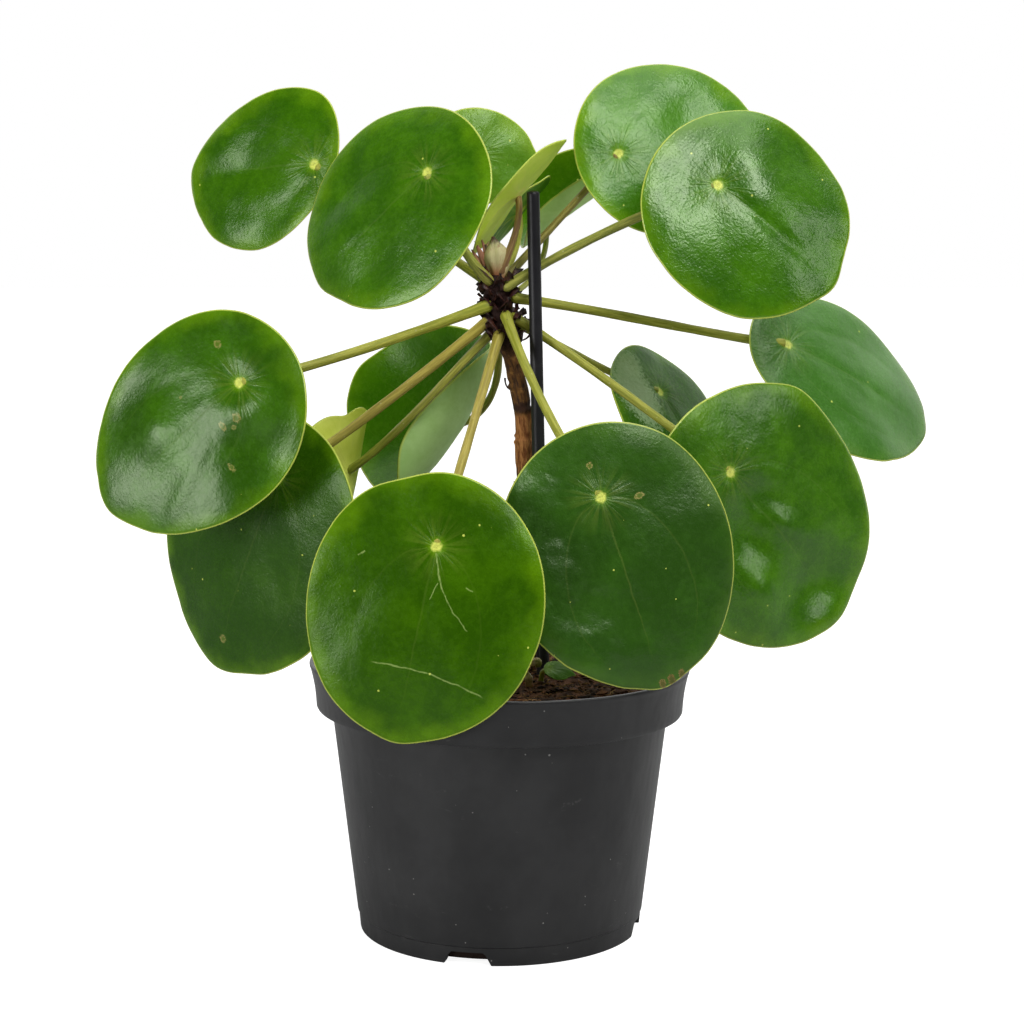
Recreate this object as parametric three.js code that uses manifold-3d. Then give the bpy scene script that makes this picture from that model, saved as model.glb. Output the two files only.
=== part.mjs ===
// Potted Chinese money plant (Pilea peperomioides) in a black plastic nursery pot, with a
// thin black stake beside its trunk. Millimetres, +Z up. The origin is the centre of the
// pot's underside, the front is -Y and the right-hand side is +X.
import * as THREE from 'three';
import { mergeVertices } from 'three/addons/utils/BufferGeometryUtils.js';
import Module from 'manifold-3d';

const wasm = await Module();
wasm.setup();

// ---------------------------------------------------------------------------------------
// Driving dimensions
// ---------------------------------------------------------------------------------------

// Clearance between pieces that touch on the real plant.
const SEAT_GAP = 0.3;

const UP = new THREE.Vector3(0, 0, 1);

// Nursery pot: thin tapered body, taller collar round the mouth, feet cut by drain notches.
const POT = {
  sides: 36,
  height: 85,
  rimRadius: 60,
  rimLip: 1.4,
  collarFoot: 71,
  collarFootRadius: 57.9,
  bodyTopRadius: 53.1,
  stepHeight: 6,
  stepDepth: 0.4,
  footRadius: 44.7,
  wall: 1.3,
  floorFillet: 4,
  corner: 0.4,
  lipRound: 0.6,
  channelInner: 25,
  channelOuter: 40,
  channelRise: 2,
  channelSlope: 1,
};

// The warm plastic has sagged: the collar drops to the right by this slope, from halfway up.
const LEAN = { slope: 0.02, from: 20, to: 70 };

// Four notches cut in the foot ring and a ring of drain holes in the raised channel.
const NOTCH = { count: 4, firstAngle: -12.5, width: 14.8, topWidth: 9.7, height: 4.2, depth: 8, proud: 2 };
const DRAIN = { count: 8, ringRadius: 32.5, holeRadius: 3, sides: 10, depth: 12 };

// Potting soil: it fills the pot to just under the rim and rises a little to the trunk.
const SOIL = { edgeHeight: 80.6, crownHeight: 82.6, edgeFlare: 0.8, crumb: 0.7, clump: 10.6, clumpSkew: 1.1 };
const SOIL_RINGS = [1, 0.92, 0.8, 0.66, 0.5, 0.34, 0.17, 0];

// Support stake, a straight rod pushed into the soil beside the trunk.
const STAKE = { radius: 2, top: [10.3, -7, 232], bottom: [15.2, -7, 14], sides: 12 };

// Woody trunk: its centre line from inside the soil to the crown, and the knobbly crown.
const TRUNK = {
  radius: 2.75,
  sides: 10,
  steps: 14,
  line: [
    [9.5, 0, 58], [9, 0, 84], [8.6, 0, 120], [8, 0, 150],
    [7, 0, 165], [4.7, 0, 179], [3, 0, 190], [2.5, 0, 203],
  ],
};
const CROWN = {
  axis: [2.5, 0],
  foot: 185,
  top: 207,
  sides: 12,
  // Radius at each share of the height.
  profile: [[3, 0], [4, 0.2], [4.3, 0.45], [3.9, 0.75], [2.6, 1]],
};

// Dry leaf-stalk scars down the trunk: height, facing azimuth and how far each stands out.
const SCAR = { radius: 1.9, length: 3.2, droop: 25, sides: 5 };
const SCARS = [
  [176, -95, 1.6], [169, 60, 1.3], [160, -120, 1.4], [151, 100, 1.5], [133, -70, 1.2], [112, 80, 1.2],
];
// Dry stipule scales of the crown: height, azimuth, length and droop of each.
const SCALE = { radius: 1.3, flatness: 0.55, rootRadius: 3.1, sides: 4 };
const SCALES = [
  [204, -30, 6, -40], [202, 160, 6, -30], [199, -125, 6, -10], [196, 15, 5, 10],
  [193, 120, 6, 25], [190, -55, 6, 40], [188, 50, 6, 45], [187, -150, 5, 50],
];

// Terminal bud, a pointed sheath that leans to the left of the crown's tip.
const BUD = {
  foot: [1.9, 0.7, 205.5],
  tip: [-1.8, -0.8, 217.5],
  sides: 10,
  // Radius at each share of the length.
  profile: [[1.6, 0], [2.7, 0.3], [2.2, 0.6], [0.8, 0.87]],
};

// Leaf blades. Thickness, margin and outline traits that all blades share.
const BLADE = { thickness: 0.9, spokes: 24, rings: 4, ovate: 0.06, tipLength: 1.5, tipHalfAngle: 0.22 };
const MARGIN = { waveShare: 0.012, waves: 5, lobeShare: 0.012, lobes: 3, phaseStep: 2.1 };

// Leaf stalks: a round stalk that leaves the crown and turns into the blade from below.
const STALK = {
  radius: 1.15,
  youngRadius: 0.9,
  sides: 8,
  steps: 9,
  // Shares of the way to the hub at which the stalk bows, and how much bow the second keeps.
  nearShare: 0.36,
  farShare: 0.8,
  farBow: 0.6,
  // How far under the blade the stalk aims before it turns into it, and the space cut above.
  tuck: 3.5,
  upperClearance: 3,
};

// Every leaf, from the top of the plant down.
//   hub       where the stalk meets the blade
//   facing    azimuth and elevation of the upper side; azimuth 0 faces the front, 90 faces +X
//   tipTurn   swing of the tip from straight downhill, about the upper side's normal
//   size      length and width of the blade laid flat
//   hubShare  the hub's place along the length, measured from the base
//   bend      turn along and across the blade; above 0 it cups towards its upper side
//   foot      height of the stalk's foot on the crown
//   bow       how far the middle of the stalk leaves the straight line
//   ovate     narrowing towards the tip, where it isn't the usual one
const LEAVES = [
  { hub: [-59, 24, 241], facing: [-22, 10], tipTurn: -88, size: [54, 52], hubShare: 0.14,
    bend: [-15, -20], foot: 203, bow: [0, 6, -1] },
  { hub: [-22, -5, 238], facing: [-28, 22], tipTurn: -46, size: [69, 62], hubShare: 0.28,
    bend: [-25, -20], foot: 202, bow: [-3, -4, -3] },
  { hub: [-8, 16, 244], facing: [12, 8], tipTurn: 85, size: [34, 30], hubShare: 0.42,
    bend: [-20, -20], foot: 203, bow: [-1, 12, -2], young: true },
  { hub: [5, -1, 228], facing: [-112, 38], tipTurn: 180, size: [43, 24], hubShare: 0.45,
    bend: [-10, 80], foot: 203, bow: [3, -1, -1], young: true },
  { hub: [6, 28, 227], facing: [-75, 40], tipTurn: 180, size: [32, 15], hubShare: 0.42,
    bend: [-10, 10], foot: 200, bow: [1, 0, -1], young: true },
  { hub: [15, 45, 221], facing: [-62, 52], tipTurn: 150, size: [44, 44], hubShare: 0.22,
    bend: [10, 130], foot: 197, bow: [3, 4, -6], young: true },
  { hub: [37, 8, 244], facing: [8, 18], tipTurn: 100, size: [62, 56], hubShare: 0.22,
    bend: [-20, -20], foot: 202, bow: [1, 4, 1] },
  { hub: [66, -15, 234], facing: [8, 20], tipTurn: 50, size: [67, 64], hubShare: 0.31,
    bend: [-25, -25], foot: 201, bow: [0, 4, 4] },
  { hub: [92, 20, 184], facing: [30, 35], tipTurn: 62, size: [74, 56], hubShare: 0.18,
    bend: [-30, -20], foot: 199, bow: [0, 3, 1] },
  { hub: [-68, -12, 145], facing: [-30, 5], tipTurn: -25, size: [88, 74], hubShare: 0.22,
    bend: [-25, -20], foot: 192, bow: [0, 4, -2] },
  { hub: [70, -24, 148], facing: [26, 5], tipTurn: 42, size: [86, 76], hubShare: 0.27,
    bend: [-15, -20], foot: 195, bow: [0, 7, 2] },
  { hub: [-22, 42, 159], facing: [-48, 31], tipTurn: 155, size: [66, 70], hubShare: 0.45,
    ovate: 0.25, bend: [10, 165], foot: 190, bow: [10, 8, -8] },
  { hub: [-47, 12, 144], facing: [-115, 5], tipTurn: 15, size: [78, 50], hubShare: 0.27,
    bend: [-15, 120], foot: 188, bow: [1, 0, -6] },
  { hub: [-18, -56, 130], facing: [-5, 12], tipTurn: -12, size: [80, 70], hubShare: 0.27,
    bend: [-25, -20], foot: 189, bow: [0, 2, 0] },
  { hub: [30, -46, 143], facing: [5, 12], tipTurn: 18, size: [80, 69], hubShare: 0.27,
    bend: [-25, -20], foot: 196, bow: [-2, -4, -4] },
  { hub: [-78, -25, 175], facing: [-14, 14], tipTurn: -48, size: [76, 62], hubShare: 0.25,
    bend: [-25, -20], foot: 198, bow: [0, 4, -2] },
  { hub: [52, 30, 168], facing: [52, 34], tipTurn: 5, size: [66, 54], hubShare: 0.27,
    bend: [-20, -20], foot: 192, bow: [0, 3, 0] },
];

// Seedling at the foot of the trunk: a short stem and one small round leaf.
const SPROUT = { stemFoot: [12.5, -19, 74], stemBend: [14, -20, 84.5], stemRadius: 0.9, sides: 6, steps: 6 };
const SEEDLING = {
  name: 'seedling',
  hub: [17.4, -22, 86.4],
  facing: [5, 66],
  tipTurn: 0,
  size: [10, 9],
  hubShare: 0.4,
  bend: [-20, -20],
  phase: 0,
};

// Finish of each material: base colour and roughness.
const FINISH = {
  plastic: { color: 0x2c2c2e, roughness: 0.5 },
  soil: { color: 0x3a2418, roughness: 1.0 },
  stake: { color: 0x262428, roughness: 0.45 },
  bark: { color: 0x64402a, roughness: 0.9 },
  bud: { color: 0xc8be8c, roughness: 0.6 },
  blade: { color: 0x3a7a10, roughness: 0.35 },
  stalk: { color: 0x8c9640, roughness: 0.5 },
};

// ---------------------------------------------------------------------------------------
// Geometry helpers
// ---------------------------------------------------------------------------------------

const radians = THREE.MathUtils.degToRad;
const vector = (triple) => new THREE.Vector3(...triple);

/** Direction at an azimuth (0 = front, 90 = +X) and an elevation, in degrees. */
function direction(azimuth, elevation) {
  const level = Math.cos(radians(elevation));
  return new THREE.Vector3(
    Math.sin(radians(azimuth)) * level,
    -Math.cos(radians(azimuth)) * level,
    Math.sin(radians(elevation)),
  );
}

/** Turn a closed three.js geometry into a solid that can be joined and cut. */
function toSolid(geometry) {
  const bare = geometry.clone();
  bare.deleteAttribute('normal');
  bare.deleteAttribute('uv');
  const merged = mergeVertices(bare, 1e-4);
  return new wasm.Manifold(new wasm.Mesh({
    numProp: 3,
    vertProperties: new Float32Array(merged.attributes.position.array),
    triVerts: new Uint32Array(merged.index.array),
  }));
}

/** Turn a solid back into a three.js geometry. */
function toGeometry(solid) {
  const mesh = solid.getMesh();
  const geometry = new THREE.BufferGeometry();
  geometry.setAttribute('position', new THREE.BufferAttribute(new Float32Array(mesh.vertProperties), 3));
  geometry.setIndex(new THREE.BufferAttribute(new Uint32Array(mesh.triVerts), 1));
  geometry.computeVertexNormals();
  return geometry;
}

/** Round tube of one radius along a line of points. */
function tube(points, radius, sides, steps) {
  const section = new THREE.Shape();
  section.absarc(0, 0, radius, 0, 2 * Math.PI);
  return new THREE.ExtrudeGeometry(section, {
    steps,
    curveSegments: sides / 2,
    bevelEnabled: false,
    extrudePath: new THREE.CatmullRomCurve3(points),
  });
}

/** Tube that is thickened all round, and lengthened past its first point, by `clearance`. */
function clearedTube(points, radius, sides, steps, clearance) {
  const [first, second] = points;
  const back = first.clone().sub(second).setLength(clearance);
  return tube([first.clone().add(back), ...points.slice(1)], radius + clearance, sides, steps);
}

/** Body turned about +Z from [radius, height] pairs that start and end on the axis. */
function turned(profile, sides) {
  const points = profile.map(([radius, height]) => new THREE.Vector2(radius, height));
  return new THREE.LatheGeometry(points, sides).rotateX(Math.PI / 2);
}

/** Named mesh with the finish of its material. */
function piece(name, geometry, finish) {
  const mesh = new THREE.Mesh(geometry, new THREE.MeshStandardMaterial({ metalness: 0, ...finish }));
  mesh.name = name;
  return mesh;
}

// ---------------------------------------------------------------------------------------
// Pot and soil
// ---------------------------------------------------------------------------------------

/** Slope the collar down to the right, easing in above the lower part of the pot. */
function lean(geometry) {
  const position = geometry.attributes.position;
  for (let i = 0; i < position.count; i += 1) {
    const ease = THREE.MathUtils.smoothstep(position.getZ(i), LEAN.from, LEAN.to);
    position.setZ(i, position.getZ(i) - LEAN.slope * position.getX(i) * ease);
  }
  return geometry;
}

/** Outside of the pot, from the middle of the underside to the lip. */
function potOutside() {
  const { channelInner, channelOuter, channelRise, channelSlope, corner, lipRound } = POT;
  const { footRadius, stepHeight, stepDepth, collarFoot, collarFootRadius, rimRadius, height } = POT;
  return [
    [0, 0],
    [channelInner - channelSlope, 0],
    [channelInner, channelRise],
    [channelOuter, channelRise],
    [channelOuter + channelSlope, 0],
    [footRadius, 0],
    [footRadius + stepDepth, stepHeight - corner],
    [footRadius + 2 * stepDepth, stepHeight + corner],
    [POT.bodyTopRadius, collarFoot - corner],
    [collarFootRadius - lipRound, collarFoot - corner],
    [collarFootRadius, collarFoot + corner],
    [rimRadius - corner, height - 2 * lipRound],
    [rimRadius, height - lipRound],
    [rimRadius - corner, height],
  ];
}

/** Inside of the pot, from the lip to the middle of the floor, `offset` mm off the wall. */
function potInside(offset) {
  const { wall, floorFillet, lipRound, channelInner, channelOuter, channelRise, channelSlope } = POT;
  const inset = wall + offset;
  const channelFloor = channelRise + inset;
  return [
    [POT.collarFootRadius - inset, POT.collarFoot + inset],
    [POT.bodyTopRadius - inset, POT.collarFoot + inset - lipRound],
    [POT.bodyTopRadius - inset, POT.collarFoot - 2 * wall],
    [POT.footRadius + POT.stepDepth - inset, floorFillet + offset],
    [POT.footRadius - POT.stepDepth - inset, inset],
    [channelOuter + channelSlope + offset / 2, inset],
    [channelOuter + offset / 2, channelFloor],
    [channelInner - offset / 2, channelFloor],
    [channelInner - channelSlope - offset / 2, inset],
    [0, inset],
  ];
}

/** Wedge that cuts one drain notch in the foot ring, wider at the bottom. */
function notchCutter(azimuth) {
  const outline = new THREE.Shape();
  outline.moveTo(-NOTCH.width / 2, -1);
  outline.lineTo(NOTCH.width / 2, -1);
  outline.lineTo(NOTCH.width / 2, 0);
  outline.lineTo(NOTCH.topWidth / 2, NOTCH.height);
  outline.lineTo(-NOTCH.topWidth / 2, NOTCH.height);
  outline.lineTo(-NOTCH.width / 2, 0);
  const wedge = new THREE.ExtrudeGeometry(outline, { depth: NOTCH.depth, bevelEnabled: false });
  wedge.rotateX(Math.PI / 2);
  wedge.translate(0, -POT.footRadius + NOTCH.depth - NOTCH.proud, 0);
  return toSolid(wedge.rotateZ(radians(azimuth)));
}

/** Round cutter for one drain hole of the floor's channel. */
function drainCutter(azimuth) {
  const cutter = new THREE.CylinderGeometry(DRAIN.holeRadius, DRAIN.holeRadius, DRAIN.depth, DRAIN.sides);
  cutter.rotateX(Math.PI / 2);
  const place = direction(azimuth, 0).multiplyScalar(DRAIN.ringRadius);
  return toSolid(cutter.translate(place.x, place.y, place.z));
}

/** The pot: a thin shell, its foot ring notched and its floor pierced. */
function potSolid() {
  const lip = [POT.rimRadius - POT.rimLip, POT.height];
  let shell = toSolid(turned([...potOutside(), lip, ...potInside(0)], POT.sides));
  for (let i = 0; i < NOTCH.count; i += 1) {
    shell = shell.subtract(notchCutter(NOTCH.firstAngle + (i * 360) / NOTCH.count));
  }
  for (let i = 0; i < DRAIN.count; i += 1) {
    shell = shell.subtract(drainCutter(((i + 0.5) * 360) / DRAIN.count));
  }
  return toSolid(lean(toGeometry(shell)));
}

/** Crumbly relief of the soil's surface at a place, between -1 and 1. */
function crumble(x, y) {
  const rate = (2 * Math.PI) / SOIL.clump;
  const alongX = Math.sin(rate * x + SOIL.clumpSkew * Math.sin(0.5 * rate * y));
  const alongY = Math.sin(rate * y - SOIL.clumpSkew * Math.sin(0.7 * rate * x));
  return 0.5 * (alongX + alongY);
}

/** The soil, seated in the pot and open where stems and stake stand in it. */
function soilSolid(stems) {
  const wallTop = POT.collarFootRadius - POT.wall - SEAT_GAP;
  const rise = SOIL.crownHeight - SOIL.edgeHeight;
  const surface = SOIL_RINGS.map(
    (share) => [share * (wallTop + SOIL.edgeFlare), SOIL.edgeHeight + rise * (1 - share * share)],
  );
  const walls = potInside(SEAT_GAP).reverse();
  const body = turned([...walls, ...surface], POT.sides);
  const position = body.attributes.position;
  for (let i = 0; i < position.count; i += 1) {
    if (position.getZ(i) >= SOIL.edgeHeight) {
      const bump = SOIL.crumb * crumble(position.getX(i), position.getY(i));
      position.setZ(i, position.getZ(i) + bump);
    }
  }
  return stems.reduce((soil, stem) => soil.subtract(stem), toSolid(lean(body)));
}

// ---------------------------------------------------------------------------------------
// Stake, trunk and bud
// ---------------------------------------------------------------------------------------

/** The stake, or its plain hole when `clearance` is above 0. */
function stakeSolid(clearance) {
  const line = [vector(STAKE.bottom), vector(STAKE.top)];
  return toSolid(clearedTube(line, STAKE.radius, STAKE.sides, 1, clearance));
}

/** Knobbly crown that the leaf stalks grow from. */
function crownSolid(clearance) {
  const height = CROWN.top - CROWN.foot + 2 * clearance;
  const rings = CROWN.profile.map(([radius, share]) => [radius + clearance, share * height]);
  const body = turned([[0, 0], ...rings, [0, height]], CROWN.sides);
  return toSolid(body.translate(CROWN.axis[0], CROWN.axis[1], CROWN.foot - clearance));
}

/** Centre of the trunk at a height, read off its centre line. */
function trunkCentre(height) {
  const line = TRUNK.line;
  const next = line.findIndex((point) => point[2] >= height);
  const [low, high] = [line[next - 1], line[next]];
  const share = (height - low[2]) / (high[2] - low[2]);
  return new THREE.Vector3(THREE.MathUtils.lerp(low[0], high[0], share), 0, height);
}

/** Plain trunk and crown, thickened by `clearance` when they cut the pieces round them. */
function stemSolid(clearance) {
  const line = TRUNK.line.map(vector);
  const trunk = toSolid(clearedTube(line, TRUNK.radius, TRUNK.sides, TRUNK.steps, clearance));
  return trunk.add(crownSolid(clearance));
}

/** Low ridge left on the trunk by a fallen leaf. */
function scarSolid([height, azimuth, stand]) {
  const ridge = new THREE.ConeGeometry(SCAR.radius, SCAR.length, SCAR.sides).rotateX(Math.PI / 2);
  const outward = direction(azimuth, -SCAR.droop);
  ridge.applyQuaternion(new THREE.Quaternion().setFromUnitVectors(UP, outward));
  const place = trunkCentre(height).addScaledVector(outward, TRUNK.radius + stand - SCAR.length / 2);
  return toSolid(ridge.translate(place.x, place.y, place.z));
}

/** Dry pointed scale that stands off the crown. */
function scaleSolid([height, azimuth, length, droop]) {
  const scale = new THREE.ConeGeometry(SCALE.radius, length, SCALE.sides);
  scale.scale(1, 1, SCALE.flatness).rotateX(Math.PI / 2);
  const outward = direction(azimuth, -droop);
  scale.applyQuaternion(new THREE.Quaternion().setFromUnitVectors(UP, outward));
  const reach = SCALE.rootRadius + length / 2;
  const place = new THREE.Vector3(CROWN.axis[0], CROWN.axis[1], height).addScaledVector(outward, reach);
  return toSolid(scale.translate(place.x, place.y, place.z));
}

/** The whole trunk with its crown, and its scars and dry scales cut clear of the stalks. */
function trunkSolid(stalkRods) {
  const extras = [...SCARS.map(scarSolid), ...SCALES.map(scaleSolid)];
  const joined = extras.reduce((body, extra) => body.add(extra));
  const cleared = stalkRods.reduce((body, rod) => body.subtract(rod), joined);
  return stemSolid(0).add(cleared);
}

/** The terminal bud, a closed pointed sheath that sits on the tip of the crown. */
function budSolid(trunk) {
  const foot = vector(BUD.foot);
  const axis = vector(BUD.tip).sub(foot);
  const length = axis.length();
  const rings = BUD.profile.map(([radius, share]) => [radius, share * length]);
  const sheath = turned([[0, 0], ...rings, [0, length]], BUD.sides);
  sheath.applyQuaternion(new THREE.Quaternion().setFromUnitVectors(UP, axis.normalize()));
  return toSolid(sheath.translate(foot.x, foot.y, foot.z)).subtract(trunk);
}

// ---------------------------------------------------------------------------------------
// Leaves
// ---------------------------------------------------------------------------------------

/** Placement of a blade: its own +X runs to the tip, +Z out of the upper side. */
function bladeMatrix(leaf) {
  const [azimuth, elevation] = leaf.facing;
  const normal = direction(azimuth, elevation);
  const downhill = direction(azimuth, elevation - 90);
  const level = new THREE.Vector3().crossVectors(normal, downhill);
  const turn = radians(leaf.tipTurn);
  const tip = downhill.multiplyScalar(Math.cos(turn)).addScaledVector(level, Math.sin(turn));
  const side = new THREE.Vector3().crossVectors(normal, tip);
  return new THREE.Matrix4().makeBasis(tip, side, normal).setPosition(vector(leaf.hub));
}

/** Distance run and height gained after `length` mm along an arc of a given curvature. */
function arc(curvature, length) {
  if (Math.abs(curvature) < 1e-6) return { run: length, rise: 0 };
  return {
    run: Math.sin(curvature * length) / curvature,
    rise: (1 - Math.cos(curvature * length)) / curvature,
  };
}

/** Point of a blade's middle surface at a share of the way from hub to margin. */
function bladePoint(leaf, share, angle) {
  const [length, width] = leaf.size;
  const fromTip = Math.atan2(Math.sin(angle), Math.cos(angle));
  const tip = BLADE.tipLength * Math.exp(-((fromTip / BLADE.tipHalfAngle) ** 2));
  const lobe = 1 + MARGIN.lobeShare * Math.sin(MARGIN.lobes * angle + leaf.phase);
  const along = share * lobe * ((0.5 - leaf.hubShare) * length + 0.5 * length * Math.cos(angle) + tip);
  const narrowing = 1 - (leaf.ovate ?? BLADE.ovate) * Math.cos(angle);
  const across = share * lobe * 0.5 * width * Math.sin(angle) * narrowing;
  const lengthwise = arc(radians(leaf.bend[0]) / length, along);
  const crosswise = arc(radians(leaf.bend[1]) / width, across);
  const wave = MARGIN.waveShare * width * share * share * Math.sin(MARGIN.waves * angle + leaf.phase);
  return new THREE.Vector3(lengthwise.run, crosswise.run, lengthwise.rise + crosswise.rise + wave);
}

/** Closed sheet that holds a blade's middle surface between two parallel faces. */
function bladeSheet(leaf, above, below) {
  const { spokes, rings } = BLADE;
  const middle = [bladePoint(leaf, 0, 0)];
  for (let ring = 1; ring <= rings; ring += 1) {
    for (let spoke = 0; spoke < spokes; spoke += 1) {
      middle.push(bladePoint(leaf, ring / rings, (2 * Math.PI * spoke) / spokes));
    }
  }
  const at = (ring, spoke) => (ring === 0 ? 0 : 1 + (ring - 1) * spokes + (spoke % spokes));
  const faces = [];
  for (let spoke = 0; spoke < spokes; spoke += 1) {
    faces.push([0, at(1, spoke), at(1, spoke + 1)]);
    for (let ring = 1; ring < rings; ring += 1) {
      faces.push([at(ring, spoke), at(ring + 1, spoke), at(ring + 1, spoke + 1)]);
      faces.push([at(ring, spoke), at(ring + 1, spoke + 1), at(ring, spoke + 1)]);
    }
  }
  const surface = new THREE.BufferGeometry().setFromPoints(middle);
  surface.setIndex(faces.flat());
  surface.computeVertexNormals();
  const normals = surface.attributes.normal;
  const shifted = (distance) => middle.map(
    (point, i) => new THREE.Vector3().fromBufferAttribute(normals, i).multiplyScalar(distance).add(point),
  );
  const count = middle.length;
  const closed = faces.flatMap(([a, b, c]) => [a, b, c, count + a, count + c, count + b]);
  for (let spoke = 0; spoke < spokes; spoke += 1) {
    const a = at(rings, spoke);
    const b = at(rings, spoke + 1);
    closed.push(a, count + a, count + b, a, count + b, b);
  }
  const sheet = new THREE.BufferGeometry().setFromPoints([...shifted(above), ...shifted(-below)]);
  sheet.setIndex(closed);
  return sheet;
}

/** Blade mesh, placed at its hub. */
function bladePiece(leaf) {
  const half = BLADE.thickness / 2;
  const sheet = toSolid(bladeSheet(leaf, half, half));
  const mesh = piece(`${leaf.name}_blade`, toGeometry(sheet), FINISH.blade);
  bladeMatrix(leaf).decompose(mesh.position, mesh.quaternion, mesh.scale);
  return mesh;
}

/** Line of a stalk from the middle of the crown to the hub, arriving from below the blade. */
function stalkLine(leaf) {
  const hub = vector(leaf.hub);
  const foot = new THREE.Vector3(CROWN.axis[0], CROWN.axis[1], leaf.foot);
  const bow = vector(leaf.bow);
  const under = direction(...leaf.facing).multiplyScalar(-STALK.tuck);
  const near = foot.clone().lerp(hub, STALK.nearShare).add(bow);
  const far = foot.clone().lerp(hub, STALK.farShare).addScaledVector(bow, STALK.farBow).add(under);
  return new THREE.CubicBezierCurve3(foot, near, far, hub).getPoints(STALK.steps);
}

/** Round rod of one leaf's stalk, thickened by `clearance` where it cuts its neighbours. */
function stalkRod(leaf, clearance) {
  const radius = leaf.young ? STALK.youngRadius : STALK.radius;
  return toSolid(tube(stalkLine(leaf), radius + clearance, STALK.sides, STALK.steps));
}

/** Space that a blade keeps clear of its own stalk: the blade, its gap and all above it. */
function bladeSeat(leaf) {
  const below = BLADE.thickness / 2 + SEAT_GAP;
  return toSolid(bladeSheet(leaf, STALK.upperClearance, below).applyMatrix4(bladeMatrix(leaf)));
}

/** Stalk of one leaf, ending just clear of the trunk and of the blade's underside. */
function stalkPiece(leaf, trunk) {
  const stalk = stalkRod(leaf, 0).subtract(bladeSeat(leaf)).subtract(trunk);
  return piece(`${leaf.name}_stalk`, toGeometry(stalk), FINISH.stalk);
}

// ---------------------------------------------------------------------------------------
// Seedling
// ---------------------------------------------------------------------------------------

/** Seedling's stem, or its plain hole in the soil when `clearance` is above 0. */
function seedlingStem(clearance) {
  const line = [vector(SPROUT.stemFoot), vector(SPROUT.stemBend), vector(SEEDLING.hub)];
  const rod = toSolid(clearedTube(line, SPROUT.stemRadius, SPROUT.sides, SPROUT.steps, clearance));
  return rod.subtract(bladeSeat(SEEDLING));
}

// ---------------------------------------------------------------------------------------
// Assembly
// ---------------------------------------------------------------------------------------

const leaves = LEAVES.map((leaf, index) => ({
  ...leaf,
  name: `leaf_${String(index + 1).padStart(2, '0')}`,
  phase: MARGIN.phaseStep * (index + 1),
}));

const trunkClearance = stemSolid(SEAT_GAP);
const stalkClearances = leaves.map((leaf) => stalkRod(leaf, SEAT_GAP));
const stalks = leaves.map((leaf) => stalkPiece(leaf, trunkClearance));
const stems = [trunkClearance, stakeSolid(SEAT_GAP), seedlingStem(SEAT_GAP)];

const holder = new THREE.Group();
holder.add(piece('pot', toGeometry(potSolid()), FINISH.plastic));
holder.add(piece('soil', toGeometry(soilSolid(stems)), FINISH.soil));
holder.add(piece('support_stake', toGeometry(stakeSolid(0)), FINISH.stake));

const plant = new THREE.Group();
plant.add(piece('trunk', toGeometry(trunkSolid(stalkClearances)), FINISH.bark));
plant.add(piece('terminal_bud', toGeometry(budSolid(trunkClearance)), FINISH.bud));
plant.add(...stalks);
plant.add(...leaves.map(bladePiece));
plant.add(piece('seedling_stem', toGeometry(seedlingStem(0)), FINISH.stalk));
plant.add(bladePiece(SEEDLING));

const group = new THREE.Group();
group.add(holder, plant);

export default group;
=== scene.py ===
"""Potted Chinese money plant in a black nursery pot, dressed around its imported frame."""

import logging
import math
from collections.abc import Sequence
from dataclasses import dataclass, field, replace
from enum import Enum

import bpy
import numpy as np
from mathutils import Matrix, Vector


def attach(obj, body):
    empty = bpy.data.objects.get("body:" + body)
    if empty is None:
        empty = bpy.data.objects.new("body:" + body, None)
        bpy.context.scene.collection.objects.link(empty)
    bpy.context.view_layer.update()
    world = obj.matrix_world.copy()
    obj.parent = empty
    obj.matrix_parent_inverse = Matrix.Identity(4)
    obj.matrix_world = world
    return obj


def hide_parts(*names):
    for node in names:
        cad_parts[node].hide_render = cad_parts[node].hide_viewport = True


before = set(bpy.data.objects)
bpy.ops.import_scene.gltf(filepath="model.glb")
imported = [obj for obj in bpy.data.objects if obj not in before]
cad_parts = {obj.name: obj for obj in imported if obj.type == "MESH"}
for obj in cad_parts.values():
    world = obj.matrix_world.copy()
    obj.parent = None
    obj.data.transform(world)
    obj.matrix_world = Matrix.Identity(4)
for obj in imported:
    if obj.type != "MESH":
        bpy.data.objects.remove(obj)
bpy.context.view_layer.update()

LOG = logging.getLogger("plant")
MM = 0.001
Triple = tuple[float, float, float]
Pair = tuple[float, float]
Colour = tuple[float, float, float]
Array = np.ndarray
Part = bpy.types.Object
Material = bpy.types.Material
Tree = bpy.types.NodeTree
Node = bpy.types.Node
Socket = bpy.types.NodeSocket
Feed = Socket | float | tuple

ORIGIN = (0.0, 0.0, 0.0)
WHITE = (1.0, 1.0, 1.0)
FULL_TURN = 2 * math.pi
HASH_X, HASH_Y, HASH_SEED, HASH_GAIN = 127.1, 311.7, 74.7, 43758.5453
LAYER_SHIFT = 7.3
STEPS_BETWEEN_KNOTS = 24
CAP_SHARE = 0.3


# --- Small numeric helpers ---


def srgb(code: str) -> Colour:
    """Turn a display colour into the linear one that a shader takes.

    Args:
        code: Six hexadecimal digits, red first.

    Returns:
        Linear red, green and blue.
    """
    parts = [int(code[i : i + 2], 16) / 255 for i in (0, 2, 4)]
    return tuple(c / 12.92 if c <= 0.04045 else ((c + 0.055) / 1.055) ** 2.4 for c in parts)


def smooth(value: Array | float, low: float, high: float) -> Array | float:
    """Ease from 0 at low to 1 at high.

    Args:
        value: What is compared with the two ends.
        low: Where the ease starts.
        high: Where it ends.

    Returns:
        The eased share, of the same shape as value.
    """
    share = np.clip((value - low) / (high - low), 0.0, 1.0)
    return share * share * (3 - 2 * share)


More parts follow.
